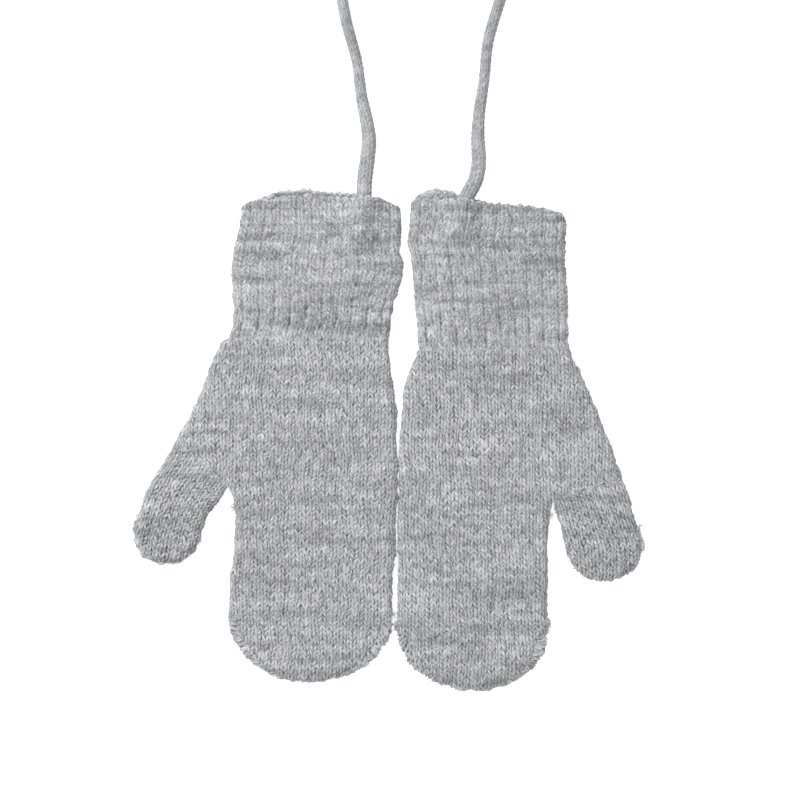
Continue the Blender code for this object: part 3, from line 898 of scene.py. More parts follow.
@dataclass
class Hand(FlatTube):
    """The hand: palm and gusset, from the cuff's border to the rounded tip."""

    crotch_ease: float = 4.0
    side_cover: float = 0.2
    tip_cover: float = 1.4
    spare: float = 4.0
    joint: ThumbRow = field(init=False)
    far: tuple = field(init=False)
    outer_line: np.ndarray = field(init=False)

    def __post_init__(self) -> None:
        """Reads the outline tables and the tip."""
        super().__post_init__()
        mitten = self.mitten
        self.joint = mitten.thumb[0]
        tip = mitten.hand_tip
        covers = (self.side_cover, self.tip_cover)
        self.tip = TipShape(tip.x, tip.y, tip.half_width, tip.depth, HAND_SEAM_RADIUS, *covers)
        self.far = mitten.gusset[:-1] + mitten.palm
        self.border = mitten.gusset[0].y
        above = [(row.y, row.thumb_side) for row in mitten.gusset if row.y >= self.joint.outer_y]
        beside = [(row.outer_y, row.outer_x) for row in mitten.thumb[1:]]
        self.outer_line = np.array(above + beside)

    def edges(self, y: np.ndarray, inset: float) -> tuple[np.ndarray, np.ndarray]:
        """The edges in plan: down to the thumb's joint, the palm's, then the tip's.

        Args:
            y: the heights.
            inset: how far inside the cloth's outer face this surface is.

        Returns:
            The left and the right edge at each height.
        """
        beside = read_curve(self.outer_line[:, 0], self.outer_line[:, 1], y)
        palm = edge(self.mitten.palm, "thumb_side", y)
        left = np.where(y >= self.joint.inner_y, beside, palm) + inset
        right = edge(self.far, "far_side", y) - inset
        half = self.tip.half(y, inset)
        at_tip = y < self.tip.y
        left = np.where(at_tip, self.tip.x - half, left)
        right = np.where(at_tip, self.tip.x + half, right)
        return left, right

    def extents(self, y: np.ndarray) -> tuple[np.ndarray, np.ndarray]:
        """The folds open toward the crotch and toward the tip's shoulder.

        Args:
            y: the heights.

        Returns:
            How much of a quarter turn the left and the right fold make.
        """
        straight = self.tip.straight(y)
        past = smoothstep((self.joint.inner_y - y) / self.crotch_ease)
        left = np.where(y >= self.joint.inner_y, 1.0, past)
        return left * straight, straight

    def near_limit(self, y: np.ndarray, start: np.ndarray, fold: Fold) -> np.ndarray:
        """The line where the thumb joins, as s.

        Args:
            y: the heights.
            start: where the fold begins at each height.
            fold: the fold's half width, its radius and the surface's inset.

        Returns:
            The least s beside the thumb, and a number below all of them elsewhere.
        """
        joint = self.joint
        share = (joint.outer_y - y) / (joint.outer_y - joint.inner_y)
        x = joint.outer_x + (joint.inner_x - joint.outer_x) * share + fold.inset
        angle = np.arcsin(np.clip((start - x) / fold.turn, 0.0, 1.0))
        s = np.where(x < start, start - fold.radius * angle, x)
        beside = (y <= joint.outer_y) & (y >= joint.inner_y)
        return np.where(beside, s, NO_LIMIT)

    def top_height(self, x: np.ndarray, y: np.ndarray) -> np.ndarray:
        """The upper face falls a little toward both sides."""
        return hand_top(self.mitten, x)

    def build(self) -> Shell:
        """Knits the hand from the cuff's border to the tip.

        Returns:
            The closed shell in the mitten frame.
        """
        widest = max(column(self.far, "far_side"))
        span = (self.outer_line[:, 1].min() - self.spare, widest + self.spare)
        reach = (self.tip.y - self.tip.depth, self.border)
        return self.shell(span, reach)


def hand_top(mitten: Mitten, x: np.ndarray) -> np.ndarray:
    """The height of a hand's upper face, a flat parabola across it.

    Args:
        mitten: whose hand it is.
        x: where to read it, in the mitten frame.

    Returns:
        The height of the stitch tops.
    """
    near = mitten.thumb[0].outer_x
    far = mitten.palm[0].far_side
    across = np.clip((x - near) / (far - near), 0.0, 1.0)
    return crowned(HAND_THICK, across)


@dataclass
class Thumb(FlatTube):
    """The thumb: a short tube round a bent middle line, from its joint to its tip."""

    crotch_ease: float = 4.0
    blend_length: float = 9.0
    # How much the painted shade in the gaps deepens toward the tip, and over what length
    tip_gap_shade: float = 0.08
    tip_shade_reach: float = 16.0
    side_cover: float = 0.9
    tip_cover: float = 1.2
    sections: int = 65
    spare: float = 4.0
    middle: np.ndarray = field(init=False)
    across: np.ndarray = field(init=False)
    width: np.ndarray = field(init=False)
    run: np.ndarray = field(init=False)
    length: float = field(init=False)

    def __post_init__(self) -> None:
        """Reads the thumb's sections and measures its middle line."""
        super().__post_init__()
        mitten = self.mitten
        share = np.linspace(0.0, 1.0, self.sections)
        at = np.linspace(0.0, 1.0, len(mitten.thumb))
        values = [read_curve(at, column(mitten.thumb, name), share) for name in ThumbRow._fields]
        outer = np.column_stack(values[:2])
        inner = np.column_stack(values[2:])
        self.middle = (outer + inner) / 2
        across = inner - outer
        self.width = np.linalg.norm(across, axis=1)
        self.across = across / self.width[:, None]
        self.run = run_along(self.middle)
        self.length = self.run[-1]
        self.border = 0.0
        depth = mitten.thumb_tip_depth
        covers = (self.side_cover, self.tip_cover)
        self.tip = TipShape(
            0.0, -self.length, self.width[-1] / 2, depth, THUMB_SEAM_RADIUS, *covers
        )

    def edges(self, y: np.ndarray, inset: float) -> tuple[np.ndarray, np.ndarray]:
        """Half the section's width to each side, then the tip's."""
        half = np.interp(-y, self.run, self.width) / 2 - inset
        half = np.where(y < self.tip.y, self.tip.half(y, inset), half)
        return -half, half

    def extents(self, y: np.ndarray) -> tuple[np.ndarray, np.ndarray]:
        """The fold beside the palm starts at the crotch."""
        straight = self.tip.straight(y)
        return straight, straight * smoothstep(-y / self.crotch_ease)

    def place(self, x: np.ndarray, y: np.ndarray) -> tuple[np.ndarray, np.ndarray]:
        """Lays the tube along its bent middle line, and straight on past the last section.

        Args:
            x: the place across the tube.
            y: the place along it, 0 at the joint and less toward the tip.

        Returns:
            X and Y in the mitten frame.
        """
        along = np.clip(-y, 0.0, self.length)
        lines = (*self.middle.T, *self.across.T)
        read = [np.interp(along, self.run, line) for line in lines]
        middle_x, middle_y, across_x, across_y = read
        ahead_x, ahead_y = self.across[-1, 1], -self.across[-1, 0]
        past = np.maximum(-y - self.length, 0.0)
        return middle_x + across_x * x + ahead_x * past, middle_y + across_y * x + ahead_y * past

    def top_height(self, x: np.ndarray, y: np.ndarray) -> np.ndarray:
        """The hand's height at the joint, and lower at both sides of the thumb past it.

        Args:
            x: the place in the mitten frame.
            y: the place in the mitten frame.

        Returns:
            The height of the stitch tops.
        """
        outer_x, outer_y, inner_x, inner_y = self.mitten.thumb[0]
        width = math.hypot(inner_x - outer_x, inner_y - outer_y)
        along_x = (inner_x - outer_x) / width
        along_y = (inner_y - outer_y) / width
        past = (x - outer_x) * along_y - (y - outer_y) * along_x
        offset = (x - outer_x) * along_x + (y - outer_y) * along_y
        own = crowned(HAND_THICK, np.clip(offset / width, 0.0, 1.0))
        share = smoothstep(past / self.blend_length)
        return hand_top(self.mitten, x) * (1 - share) + own * share

    def gap_shade_share(self, y: np.ndarray) -> np.ndarray:
        """The painted shade in the gaps deepens toward the tip, where the tube is pulled tight."""
        return 1 + self.tip_gap_shade * smoothstep(-y / self.tip_shade_reach)

    def build(self) -> Shell:
        """The shell from the joint to the tip."""
        half = self.width.max() / 2 + self.spare
        return self.shell((-half, half), (-self.length - self.tip.depth, 0.0))


# The ribbed cuff
@dataclass
class Cuff:
    """The cuff: a tube of ribs, each two columns of plain stitches and a narrow valley."""

    mitten: Mitten
    courses: int = 29
    fold_sharpness: int = 8
    border_ease: float = 3.5
    wave_length: float = 8.0

    # The valleys between the ribs: how much of a rib they take, how deep they are and where
    valley_share: float = 0.07
    valley_sharpness: int = 3
    valley_depth: float = 0.3
    lower_valley: float = 0.8
    lower_from: float = 0.40
    lower_ease: float = 0.25
    mouth_valley: float = 0.4
    mouth_from: float = 0.86
    mouth_ease: float = 0.12
    valley_uneven: float = 0.65
    most_uneven: float = 2.0
    valley_spread: tuple = (40.0, 45.0)
    valley_bump: float = 0.25
    valley_start: float = 0.1

    # The stitches: shallower in a deep valley, and held at the border, as is their painted shade
    shallow: float = 0.4
    shallow_from: float = 1.2
    rim_level: float = 0.4
    rim_courses: float = 0.5
    gap_shade_courses: float = 0.8

    # The lining: purl bars near the mouth, and painted shade over it, deepest between the bars
    lining_courses: int = 5
    lining_rows: int = 8
    lining_relief: float = 0.5
    purl_wave: float = 0.22
    purl_from: float = 0.8
    purl_ease: float = 0.05
    lining_shade: float = 0.35
    purl_shade: float = 0.5

    # The mouth: its stray, the loops of its lip, and the painted shade on the lip, most between the
    # loops
    mouth_stray: float = 0.3
    mouth_spread: float = 50.0
    mouth_room: float = 0.55
    lip_rows: int = 4
    lip_bulge: float = 1.15
    lip_level: float = 0.35
    lip_shade: float = 0.25
    lip_loop_shade: float = 0.35
    loop_full: float = 0.8
    loop_uneven: float = 0.35
    loop_spread: float = 6.0
    loop_length: float = 9.0
    fullest_loop: float = 1.2

    stitches: Stitches = field(init=False)
    border: float = field(init=False)
    across: np.ndarray = field(init=False)
    p: np.ndarray = field(init=False)
    in_rib: np.ndarray = field(init=False)

    def __post_init__(self) -> None:
        """Works out the columns of points across one face."""
        self.stitches = Stitches(seed=self.mitten.seed + Chance.CUFF)
        self.border = self.mitten.cuff[-1].y
        wales = 2 * STITCH_COLUMNS
        half_valley = self.valley_share / 2
        inside = np.arange(wales + 1) / wales * (1 - self.valley_share) + half_valley
        per_rib = np.concatenate([[0.0], inside])
        self.across = np.concatenate([(np.arange(RIBS)[:, None] + per_rib).ravel(), [RIBS]]) / RIBS
        rib_p = np.concatenate([[0.0], np.arange(wales + 1) / STITCH_COLUMNS])
        self.p = np.concatenate([(2 * np.arange(RIBS)[:, None] + rib_p).ravel(), [2.0 * RIBS]])
        self.in_rib = np.concatenate([np.tile(per_rib, RIBS), [0.0]])

    def mouth(self, name: str, fold: np.ndarray) -> np.ndarray:
        """The mouth's height across one face; both faces meet at the folds.

        Args:
            name: front for the face above and back for the one below.
            fold: 1 at the folds and 0 between them.

        Returns:
            The height of each column's end, uneven by a fraction of a stitch, with room for
            the loops of the lip below the table's line.
        """
        table = self.mitten.mouth
        at = column(table, "across")
        own = read_curve(at, column(table, name), self.across)
        front = read_curve(at, column(table, "front"), self.across)
        back = read_curve(at, column(table, "back"), self.across)
        seed = self.mitten.seed + (Chance.FRONT if name == "front" else Chance.BACK)
        at = self.mouth_spread * self.across
        stray = self.mouth_stray * waves(seed, at, 0 * at, self.wave_length)
        return (own + stray) * (1 - fold) + (front + back) / 2 * fold - self.mouth_room

    def string_lift(self, x: np.ndarray, y: np.ndarray, front: np.ndarray) -> np.ndarray:
        """How far the front rises over the string: a bell across, that ends below it.

        Args:
            x: the place across, in the mitten frame.
            y: the place along.
            front: the height of the front's mouth in each column.

        Returns:
            The rise at each place.
        """
        mitten = self.mitten
        centre = mitten.string_x - mitten.string_drift * (y - front)
        spread = np.exp(-(((x - centre) / STRING_SPREAD) ** 2))
        past = (front - y - STRING_DEPTH) / STRING_FADE
        room = CUFF_THICK - 2 * CUFF_WALL
        height = 2 * STRING_RADIUS + 2 * SEAM_GAP + STRING_SLACK - room
        return height * spread * (1 - smoothstep(past))

    def rib_fall(self, up: np.ndarray) -> np.ndarray:
        """How deep the valleys are: deepest in the lower third and near the mouth.

        Each valley comes and goes along its length, by a wave field of its own.

        Args:
            up: the share of the way from border to mouth, for each row and column.

        Returns:
            How far each place lies back for its valley.
        """
        lower = smoothstep((self.lower_from - up) / self.lower_ease)
        mouth = smoothstep((up - self.mouth_from) / self.mouth_ease)
        depth = self.valley_depth + self.lower_valley * lower + self.mouth_valley * mouth
        rib = np.floor(self.across * RIBS + 0.5)[None, :]
        seed = self.mitten.seed + Chance.VALLEYS
        wide, high = self.valley_spread
        uneven = 1 + self.valley_uneven * waves(seed, wide * rib, high * up, self.wave_length)
        bump = 1 - self.valley_bump + self.valley_bump * np.cos(2 * math.pi * up * self.courses)
        end = smoothstep(up / self.valley_start)
        profile = np.abs(2 * self.in_rib - 1) ** self.valley_sharpness
        return depth * np.clip(uneven, 0.0, self.most_uneven) * bump * end * profile[None, :]

    def purl(self, up: np.ndarray) -> np.ndarray:
        """The lining's wavy bars, from 0 on a bar to 1 between two: a cosine of each course."""
        course = up * self.courses + self.purl_wave * np.cos(2 * math.pi * self.p)[None, :]
        return 0.5 - 0.5 * np.cos(2 * math.pi * course)

    def face(self, up: np.ndarray, name: str, inset: float) -> tuple[np.ndarray, np.ndarray]:
        """One face of the cuff, from its border to its mouth.

        Args:
            up: the share of the way from border to mouth, for each row and column.
            name: the mouth's edge, front for the face above and back for the one below.
            inset: how far inside the outer face this surface is.

        Returns:
            The points, and the fall of the stitches or the lining's bars, for the painted shade.
        """
        turn = LINING_TURN if inset else FOLD_TURN
        half = CUFF_THICK / 2 - inset
        radius = (turn + half) / 2
        fold_share = np.abs(2 * self.across - 1) ** self.fold_sharpness
        mouth = self.mouth(name, fold_share)
        y = self.border + (mouth[None, :] - self.border) * up
        left = edge(self.mitten.cuff, "thumb_side", y) + inset
        right = edge(self.mitten.cuff, "far_side", y) - inset
        quarter = radius * math.pi / 2
        flat = right - left - 2 * turn
        along = self.across[None, :] * (flat + 2 * quarter) - quarter
        angle_a = np.clip(-along / radius, 0.0, math.pi / 2)
        angle_b = np.clip((along - flat) / radius, 0.0, math.pi / 2)
        x = left + turn + np.clip(along, 0.0, flat)
        x = x - turn * np.sin(angle_a) + turn * np.sin(angle_b)
        upright = np.cos(angle_a) * np.cos(angle_b)
        if inset:
            fall = self.purl(up)
            near_mouth = smoothstep((up - self.purl_from) / self.purl_ease)
            sunk = -self.lining_relief * fall * near_mouth
        else:
            fall = self.stitches.fall(self.p[None, :], up * self.courses)
            valley = self.rib_fall(up)
            course = up * self.courses
            shallow = 1 - self.shallow * smoothstep(valley / self.shallow_from)
            rim = smoothstep(course / self.rim_courses)
            level = self.rim_level + (fall - self.rim_level) * rim
            # The painted shade between the stitches is held low at the border
            fall = np.minimum(fall, END_GAP_SHADE + smoothstep(course / self.gap_shade_courses))
            sunk = STITCH_DEPTH * level * shallow + valley
        middle = CUFF_THICK / 2
        side = np.sin(angle_b) - np.sin(angle_a)
        x = x - side * (sunk - (0.0 if inset else FOLD_SWELL))
        if name == "front":
            front = self.mouth("front", fold_share)[None, :]
            ease = 1 - smoothstep((y - self.border) / self.border_ease)
            top = crowned(CUFF_THICK - inset, self.across) - (CUFF_THICK - HAND_THICK) * ease
            z = middle + (top - middle - sunk) * upright
            z = z + self.string_lift(x, y, front) * upright
        else:
            z = middle - (half - sunk) * upright
        return np.stack([x, y, z], axis=-1), fall

    def loop(self) -> np.ndarray:
        """How full the lip is: a cosine that rises on each wale's last loop.

        Returns:
            1 on a loop and 0 between two, for each column.
        """
        round_loop = 0.5 - 0.5 * np.cos(2 * math.pi * self.p)
        at = self.loop_spread * self.p
        stray = waves(self.mitten.seed + Chance.LIP, at, 0 * at, self.loop_length)
        uneven = self.loop_full + self.loop_uneven * stray
        return np.clip(round_loop * uneven, 0.0, self.fullest_loop)

    def lip(self, outer: np.ndarray, inner: np.ndarray) -> np.ndarray:
        """Rows of points that round the mouth's edge from the outer to the inner face.

        Args:
            outer: the last row of the outer face.
            inner: the first row of the inner face.

        Returns:
            The rows between them, on half ellipses that stand out by a bulge.
        """
        angle = np.pi * np.arange(1, self.lip_rows + 1) / (self.lip_rows + 1)
        middle = (outer + inner) / 2
        half = (outer - inner) / 2
        bulge = np.zeros(outer.shape)
        bulge[:, 1] = self.lip_bulge * (self.lip_level + (1 - self.lip_level) * self.loop())
        cosine, sine = np.cos(angle)[:, None, None], np.sin(angle)[:, None, None]
        return middle + half * cosine + bulge * sine

    def rows(self) -> tuple[np.ndarray, np.ndarray]:
        """Lays out the rows of points.

        Returns:
            The share of the way up for the outer face's rows, which follow the legs of the
            stitches, and for the inner face's rows, which are close together near the mouth.
        """
        spread = self.stitches.spread(self.p)
        count = np.arange(0, (self.courses + LEG_CLIMB) * STITCH_ROWS + 2) / STITCH_ROWS
        up = np.clip((count[:, None] - LEG_CLIMB * spread[None, :]) / self.courses, 0.0, 1.0)
        near = 1 - np.arange(self.lining_courses * 4) / (4 * self.courses)
        down = np.concatenate([near, np.linspace(near[-1], 0.0, self.lining_rows)[1:]])
        return up, np.broadcast_to(down[:, None], (len(down), len(self.p)))

    def build(self) -> Shell:
        """Each face runs from the border up outside, over the lip and down inside.

        Returns:
            The closed shell in the mitten frame.
        """
        up, down = self.rows()
        maker = ShellMaker(self.stitches)
        for name in ("front", "back"):
            outer, fall = self.face(up, name, 0.0)
            inner, purl = self.face(down, name, CUFF_WALL)
            lip = self.lip(outer[-1], inner[0])
            q = np.concatenate([up, np.ones(lip.shape[:2]), 2 - down]) * self.courses
            # Painted shade on the lip, most between its loops, and over the lining, most between
            # its bars
            lip_shade = self.lip_shade + self.lip_loop_shade * (1 - self.loop())
            lip_shade = np.broadcast_to(lip_shade, lip.shape[:2])
            gap = np.concatenate([fall, lip_shade, self.lining_shade + self.purl_shade * purl])
            sheet = np.concatenate([outer, lip, inner])
            above = name == "front"
            index = maker.add(sheet, np.broadcast_to(self.p, q.shape), q, gap, flip=above)
            maker.join(index[0], index[-1], flip=not above)
        return maker.shell()


# Tubes that follow a path
@dataclass(frozen=True)
class Path:
    """A path with a level sideways direction at each of its points."""

    points: np.ndarray
    run: np.ndarray

    @classmethod
    def through(cls, stops: np.ndarray, step: float) -> "Path":
        """Reads a smooth path through stops, with points a step apart.

        Args:
            stops: places that the path passes through, in mm.
            step: about how far apart its points are, in mm.

        Returns:
            The path.
        """
        stops = np.asarray(stops, float)
        at = run_along(stops)
        fine = np.linspace(0.0, at[-1], round(at[-1] / step) + 1)
        points = np.column_stack([read_curve(at, stops[:, axis], fine) for axis in range(3)])
        return cls(points, run_along(points))

    def frames(self, at: np.ndarray) -> tuple[np.ndarray, np.ndarray, np.ndarray]:
        """Reads the place, the sideways and the upward direction at distances along the path.

        Args:
            at: the distances from the path's start, in mm.

        Returns:
            The places and the two directions, each with a last axis of 3.
        """
        tangent = np.gradient(self.points, self.run, axis=0)
        tangent /= np.linalg.norm(tangent, axis=1)[:, None]
        side = np.cross(tangent, [0.0, 0.0, 1.0])
        side /= np.linalg.norm(side, axis=1)[:, None]
        over = np.cross(side, tangent)
        read = [
            np.stack([np.interp(at, self.run, values[:, axis]) for axis in range(3)], axis=-1)
            for values in (self.points, side, over)
        ]
        return tuple(read)


def capped(rows: np.ndarray) -> np.ndarray:
    """Repeats the first and the last row of a grid."""
    return np.concatenate([rows[:1], rows, rows[-1:]])


def carried(frames: tuple, across: np.ndarray, raised: np.ndarray) -> np.ndarray:
    """Carries a closed section along a path, and closes its two ends.

    Args:
        frames: the places, the sideways and the upward directions that the path gives.
        across: how far each point of the section lies to the side, in mm.
        raised: how far it lies up, in mm.

    Returns:
        Rows of points; those of the first and the last row lie in the middle of the ends.
    """
    place, side, over = frames
    points = place + side * across[..., None] + over * raised[..., None]
    points[:, -1] = points[:, 0]
    return np.concatenate([place[:1], points, place[-1:]])


@dataclass
class JoiningString:
    """The string: a narrow knitted tube, flat where it leaves the cuffs and round in the coil."""

    # Its section and stitches; it is flattest nearer to an end than flat_to
    wales: int = 6
    half_wide: float = 2.2
    half_high: float = 2.05
    flatness: float = 0.5
    flat_from: float = 75.0
    flat_to: float = 25.0
    twist_length: float = 190.0
    twist_start: float = 12.0
    relief: float = 0.42
    course: float = 1.7

    # The coil: at which turns the string moves in, up and out, and over what part of a turn
    turn_points: int = 24
    turns: float = 3.5
    lower_layer: float = 2.4
    layer_step: float = 4.2
    move_over: float = 0.16
    inward_at: float = 0.92
    upward_at: float = 1.90
    outward_at: float = 2.92

    path_step: float = 1.5
    seed: int = 53
    stitches: Stitches = field(init=False)
    path: Path = field(init=False)
    length: float = field(init=False)

    def __post_init__(self) -> None:
        """Lays out the route: up from the left cuff, round the coil, down to the right cuff."""
        self.stitches = Stitches(seed=self.seed, run=2)
        stops = np.vstack([LEFT_STRING, self.coil(), RIGHT_STRING[::-1]])
        self.path = Path.through(stops, self.path_step)
        self.length = self.path.run[-1]

    def coil(self) -> np.ndarray:
        """Three and a half turns: outer and inner below, then inner and outer above.

        The radius and the height change smoothly at the end of each turn.

        Returns:
            The coil's stops, in mm.
        """
        count = round(self.turns * self.turn_points)
        turned = np.arange(count + 1) / self.turn_points
        moves = (self.inward_at, self.upward_at, self.outward_at)
        inward, upward, outward = (smoothstep((turned - at) / self.move_over) for at in moves)
        inward = inward - outward
        radius = COIL_OUTER_TURN - COIL_TURN_STEP * inward
        angle = math.pi - 2 * math.pi * turned
        height = self.lower_layer + self.layer_step * upward
        x = COIL_CENTRE[0] + radius * np.cos(angle)
        y = COIL_CENTRE[1] + radius * np.sin(angle)
        return np.column_stack([x, y, height])

    def build(self) -> Shell:
        """Carries the knitted section, an ellipse that turns slowly, along the path.

        Returns:
            The shell, with both ends closed.
        """
        columns = self.wales * STITCH_COLUMNS
        p = np.arange(columns + 1) / STITCH_COLUMNS
        spread = self.stitches.spread(p)
        rows = np.arange(0, round(self.length / self.course) * STITCH_ROWS + 8) / STITCH_ROWS
        q = rows[:, None] - LEG_CLIMB * spread[None, :]
        along = np.clip(q * self.course, 0.0, self.length)
        fall = self.stitches.fall(p[None, :], along / self.course)
        sunk = self.relief * fall
        twist = 2 * math.pi * (along - self.twist_start) / self.twist_length
        angle = 2 * math.pi * p[None, :] / self.wales
        to_end = np.minimum(along, self.length - along)
        near = smoothstep((self.flat_from - to_end) / (self.flat_from - self.flat_to))
        near = self.flatness * near
        wide = (self.half_wide + near - sunk) * np.cos(angle)
        high = (self.half_high - near / 2 - sunk) * np.sin(angle)
        across = wide * np.cos(twist) - high * np.sin(twist)
        raised = wide * np.sin(twist) + high * np.cos(twist)
        sheet = carried(self.path.frames(along), across, raised)
        rows_along = capped(along) / self.course
        maker = ShellMaker(self.stitches)
        # The fall of the stitches also sets the painted shade between them
        maker.add(sheet, np.broadcast_to(p, rows_along.shape), rows_along, capped(fall))
        return maker.shell()


@dataclass
class TipSeam:
    """The overlocked ridge round a tip: slanted wraps of thread over the cloth's edge."""

    mitten: Mitten
    tube: FlatTube
    leads: tuple
    tucked: float

    # The wraps: how far apart, how slanted and uneven they are, and the painted shade between them,
    # deeper beside the cloth
    wrap_pitch: float = 1.75
    relief: float = 0.52
    slant: float = 0.62
    slant_uneven: float = 0.35
    slant_length: float = 12.0
    uneven: float = 0.45
    uneven_length: float = 5.0
    roundness: float = 0.9
    crossing_pitch: float = 0.55
    crossing_height: float = 0.95
    gap: float = 0.95
    inner_shade: float = 0.7

    # The ridge: its section, its swellings and its small ends
    around: int = 28
    row_step: float = 0.22
    fullness: float = 1.1
    swell: float = 0.13
    swell_length: float = 7.0
    loops: float = 0.15
    loop_spread: tuple = (3.0, 2.0)
    loop_length: float = 2.4
    flatness: float = 1.12
    end_size: float = 0.02

    # Where it is tucked under, how much slimmer and lower it is there
    slimmer: float = 0.3
    lower: float = 0.8

    # The leads, where it runs along the folds beside the tip
    lead_size: float = 0.7
    lead_push: float = 0.75
    lead_ease: float = 1.5
    lead_end: float = 0.15
    lead_stops: int = 12

    round_stops: int = 200
    path_step: float = 0.5
    stitches: Stitches = field(init=False)

    def __post_init__(self) -> None:
        """Gives the wraps their own tones."""
        self.stitches = Stitches(seed=self.mitten.seed + Chance.SEAM, run=1)

    def lead(self, start: float, length: float, right: bool) -> np.ndarray:
        """Where the ridge runs along a fold before it reaches the tip: x, y and its size.

        Args:
            start: the height at which the tip's part begins.
            length: how long the lead is.
            right: whether it lies on the right edge.

        Returns:
            A row for each of a few stops, from the lead's free end to the tip.
        """
        y = start + length * np.linspace(1.0, self.lead_end, self.lead_stops)
        edges = self.tube.edges(y, 0.0)
        radius = self.lead_size * self.tube.tip.seam_radius
        inward = radius - self.lead_push * smoothstep((y - start) / self.lead_ease)
        x = edges[1] - inward if right else edges[0] + inward
        return np.column_stack([x, y, np.full(len(y), radius), np.zeros(len(y))])

    def route(self) -> np.ndarray:
        """Lists stops along the seam, round the tip's ellipse, with a lead at each end.

        Returns:
            A row for each stop: x, y, the ridge's radius and how far it is tucked under.
        """
        tip = self.tube.tip
        angle = np.radians(np.linspace(SHOULDER_FROM, 180.0 - SHOULDER_FROM, self.round_stops))
        under = self.tucked + (1 - self.tucked) * np.sin(angle) ** 3
        radius = tip.seam_radius * (1 - self.slimmer * under)
        x = tip.x + (tip.half_width - radius) * np.cos(angle)
        y = tip.y - (tip.depth - radius) * np.sin(angle)
        stops = [np.column_stack([x, y, radius, under])]
        thumb_side, far_side = self.leads
        if far_side:
            stops.insert(0, self.lead(y[0], far_side, right=True))
        if thumb_side:
            stops.append(self.lead(y[-1], thumb_side, right=False)[::-1])
        return np.vstack(stops)

    def crests(self, rows: np.ndarray, phi: np.ndarray) -> tuple[np.ndarray, np.ndarray]:
        """Works out the threads: a cosine of each slanted wrap, and thinner ones that cross it.

        Args:
            rows: distances along the ridge, in mm.
            phi: angles round it.

        Returns:
            How many wraps along each place is, and 1 on a thread and 0 between two.
        """
        seed = self.mitten.seed
        stray = self.uneven * waves(seed + Chance.STRAY, rows, 0 * rows, self.uneven_length)
        lean = waves(seed + Chance.LEAN, rows, 0 * rows, self.slant_length)
        lean = self.slant + self.slant_uneven * lean
        slope = lean[:, None] * np.cos(phi)[None, :]
        wrap = (rows / self.wrap_pitch + stray)[:, None] + slope
        crossing = (self.crossing_pitch * rows / self.wrap_pitch - stray)[:, None] - slope
        crest = np.abs(np.cos(math.pi * wrap)) ** self.roundness
        thin = self.crossing_height * np.abs(np.cos(math.pi * crossing)) ** 3
        return wrap, np.maximum(crest, thin)

    def build(self) -> Shell:
        """A round ridge whose radius swells with each wrap, and shrinks to both ends.

        Returns:
            The closed ridge in the mitten frame.
        """
        seed = self.mitten.seed
        route = self.route()
        plan_x, plan_y = self.tube.place(route[:, 0], route[:, 1])
        stops = np.column_stack([plan_x, plan_y, SEAM_HEIGHT - self.lower * route[:, 3]])
        path = Path.through(stops, self.path_step)
        length = path.run[-1]
        rows = np.linspace(0.0, length, round(length / self.row_step))
        phi = np.linspace(0.0, 2 * math.pi, self.around + 1)
        wrap, crest = self.crests(rows, phi)
        radius = np.interp(rows, run_along(stops), route[:, 2])[:, None]
        swell = waves(seed + Chance.SWELL, rows, 0 * rows, self.swell_length)[:, None]
        along, round_it = self.loop_spread
        loops = waves(seed + Chance.LOOPS, wrap * along, phi[None, :] * round_it, self.loop_length)
        full = self.fullness + self.swell * swell + self.loops * loops
        size = radius * full - self.relief * (1 - crest)
        to_end = np.minimum(rows, length - rows)[:, None]
        end = np.sqrt(np.clip(to_end / self.tube.tip.seam_radius, 0.0, 1.0))
        size = size * np.maximum(end, self.end_size)
        frames = path.frames(np.broadcast_to(rows[:, None], size.shape))
        sheet = carried(frames, size * np.cos(phi) * self.flatness, size * np.sin(phi))
        q = capped(wrap)
        p = np.broadcast_to(phi / 2, q.shape)
        # Painted shade between the wraps, deeper on the side against the cloth
        beside_cloth = 1 + self.inner_shade * np.clip(np.cos(phi), 0.0, 1.0)
        gap = capped(self.gap * (1 - crest) * beside_cloth)
        return Shell(
            sheet.reshape(-1, 3),
            grid_faces(np.arange(q.size).reshape(q.shape)),
            np.column_stack([p.ravel(), q.ravel()]),
            self.stitches.tone(p, q).ravel(),
            gap.ravel(),
        )


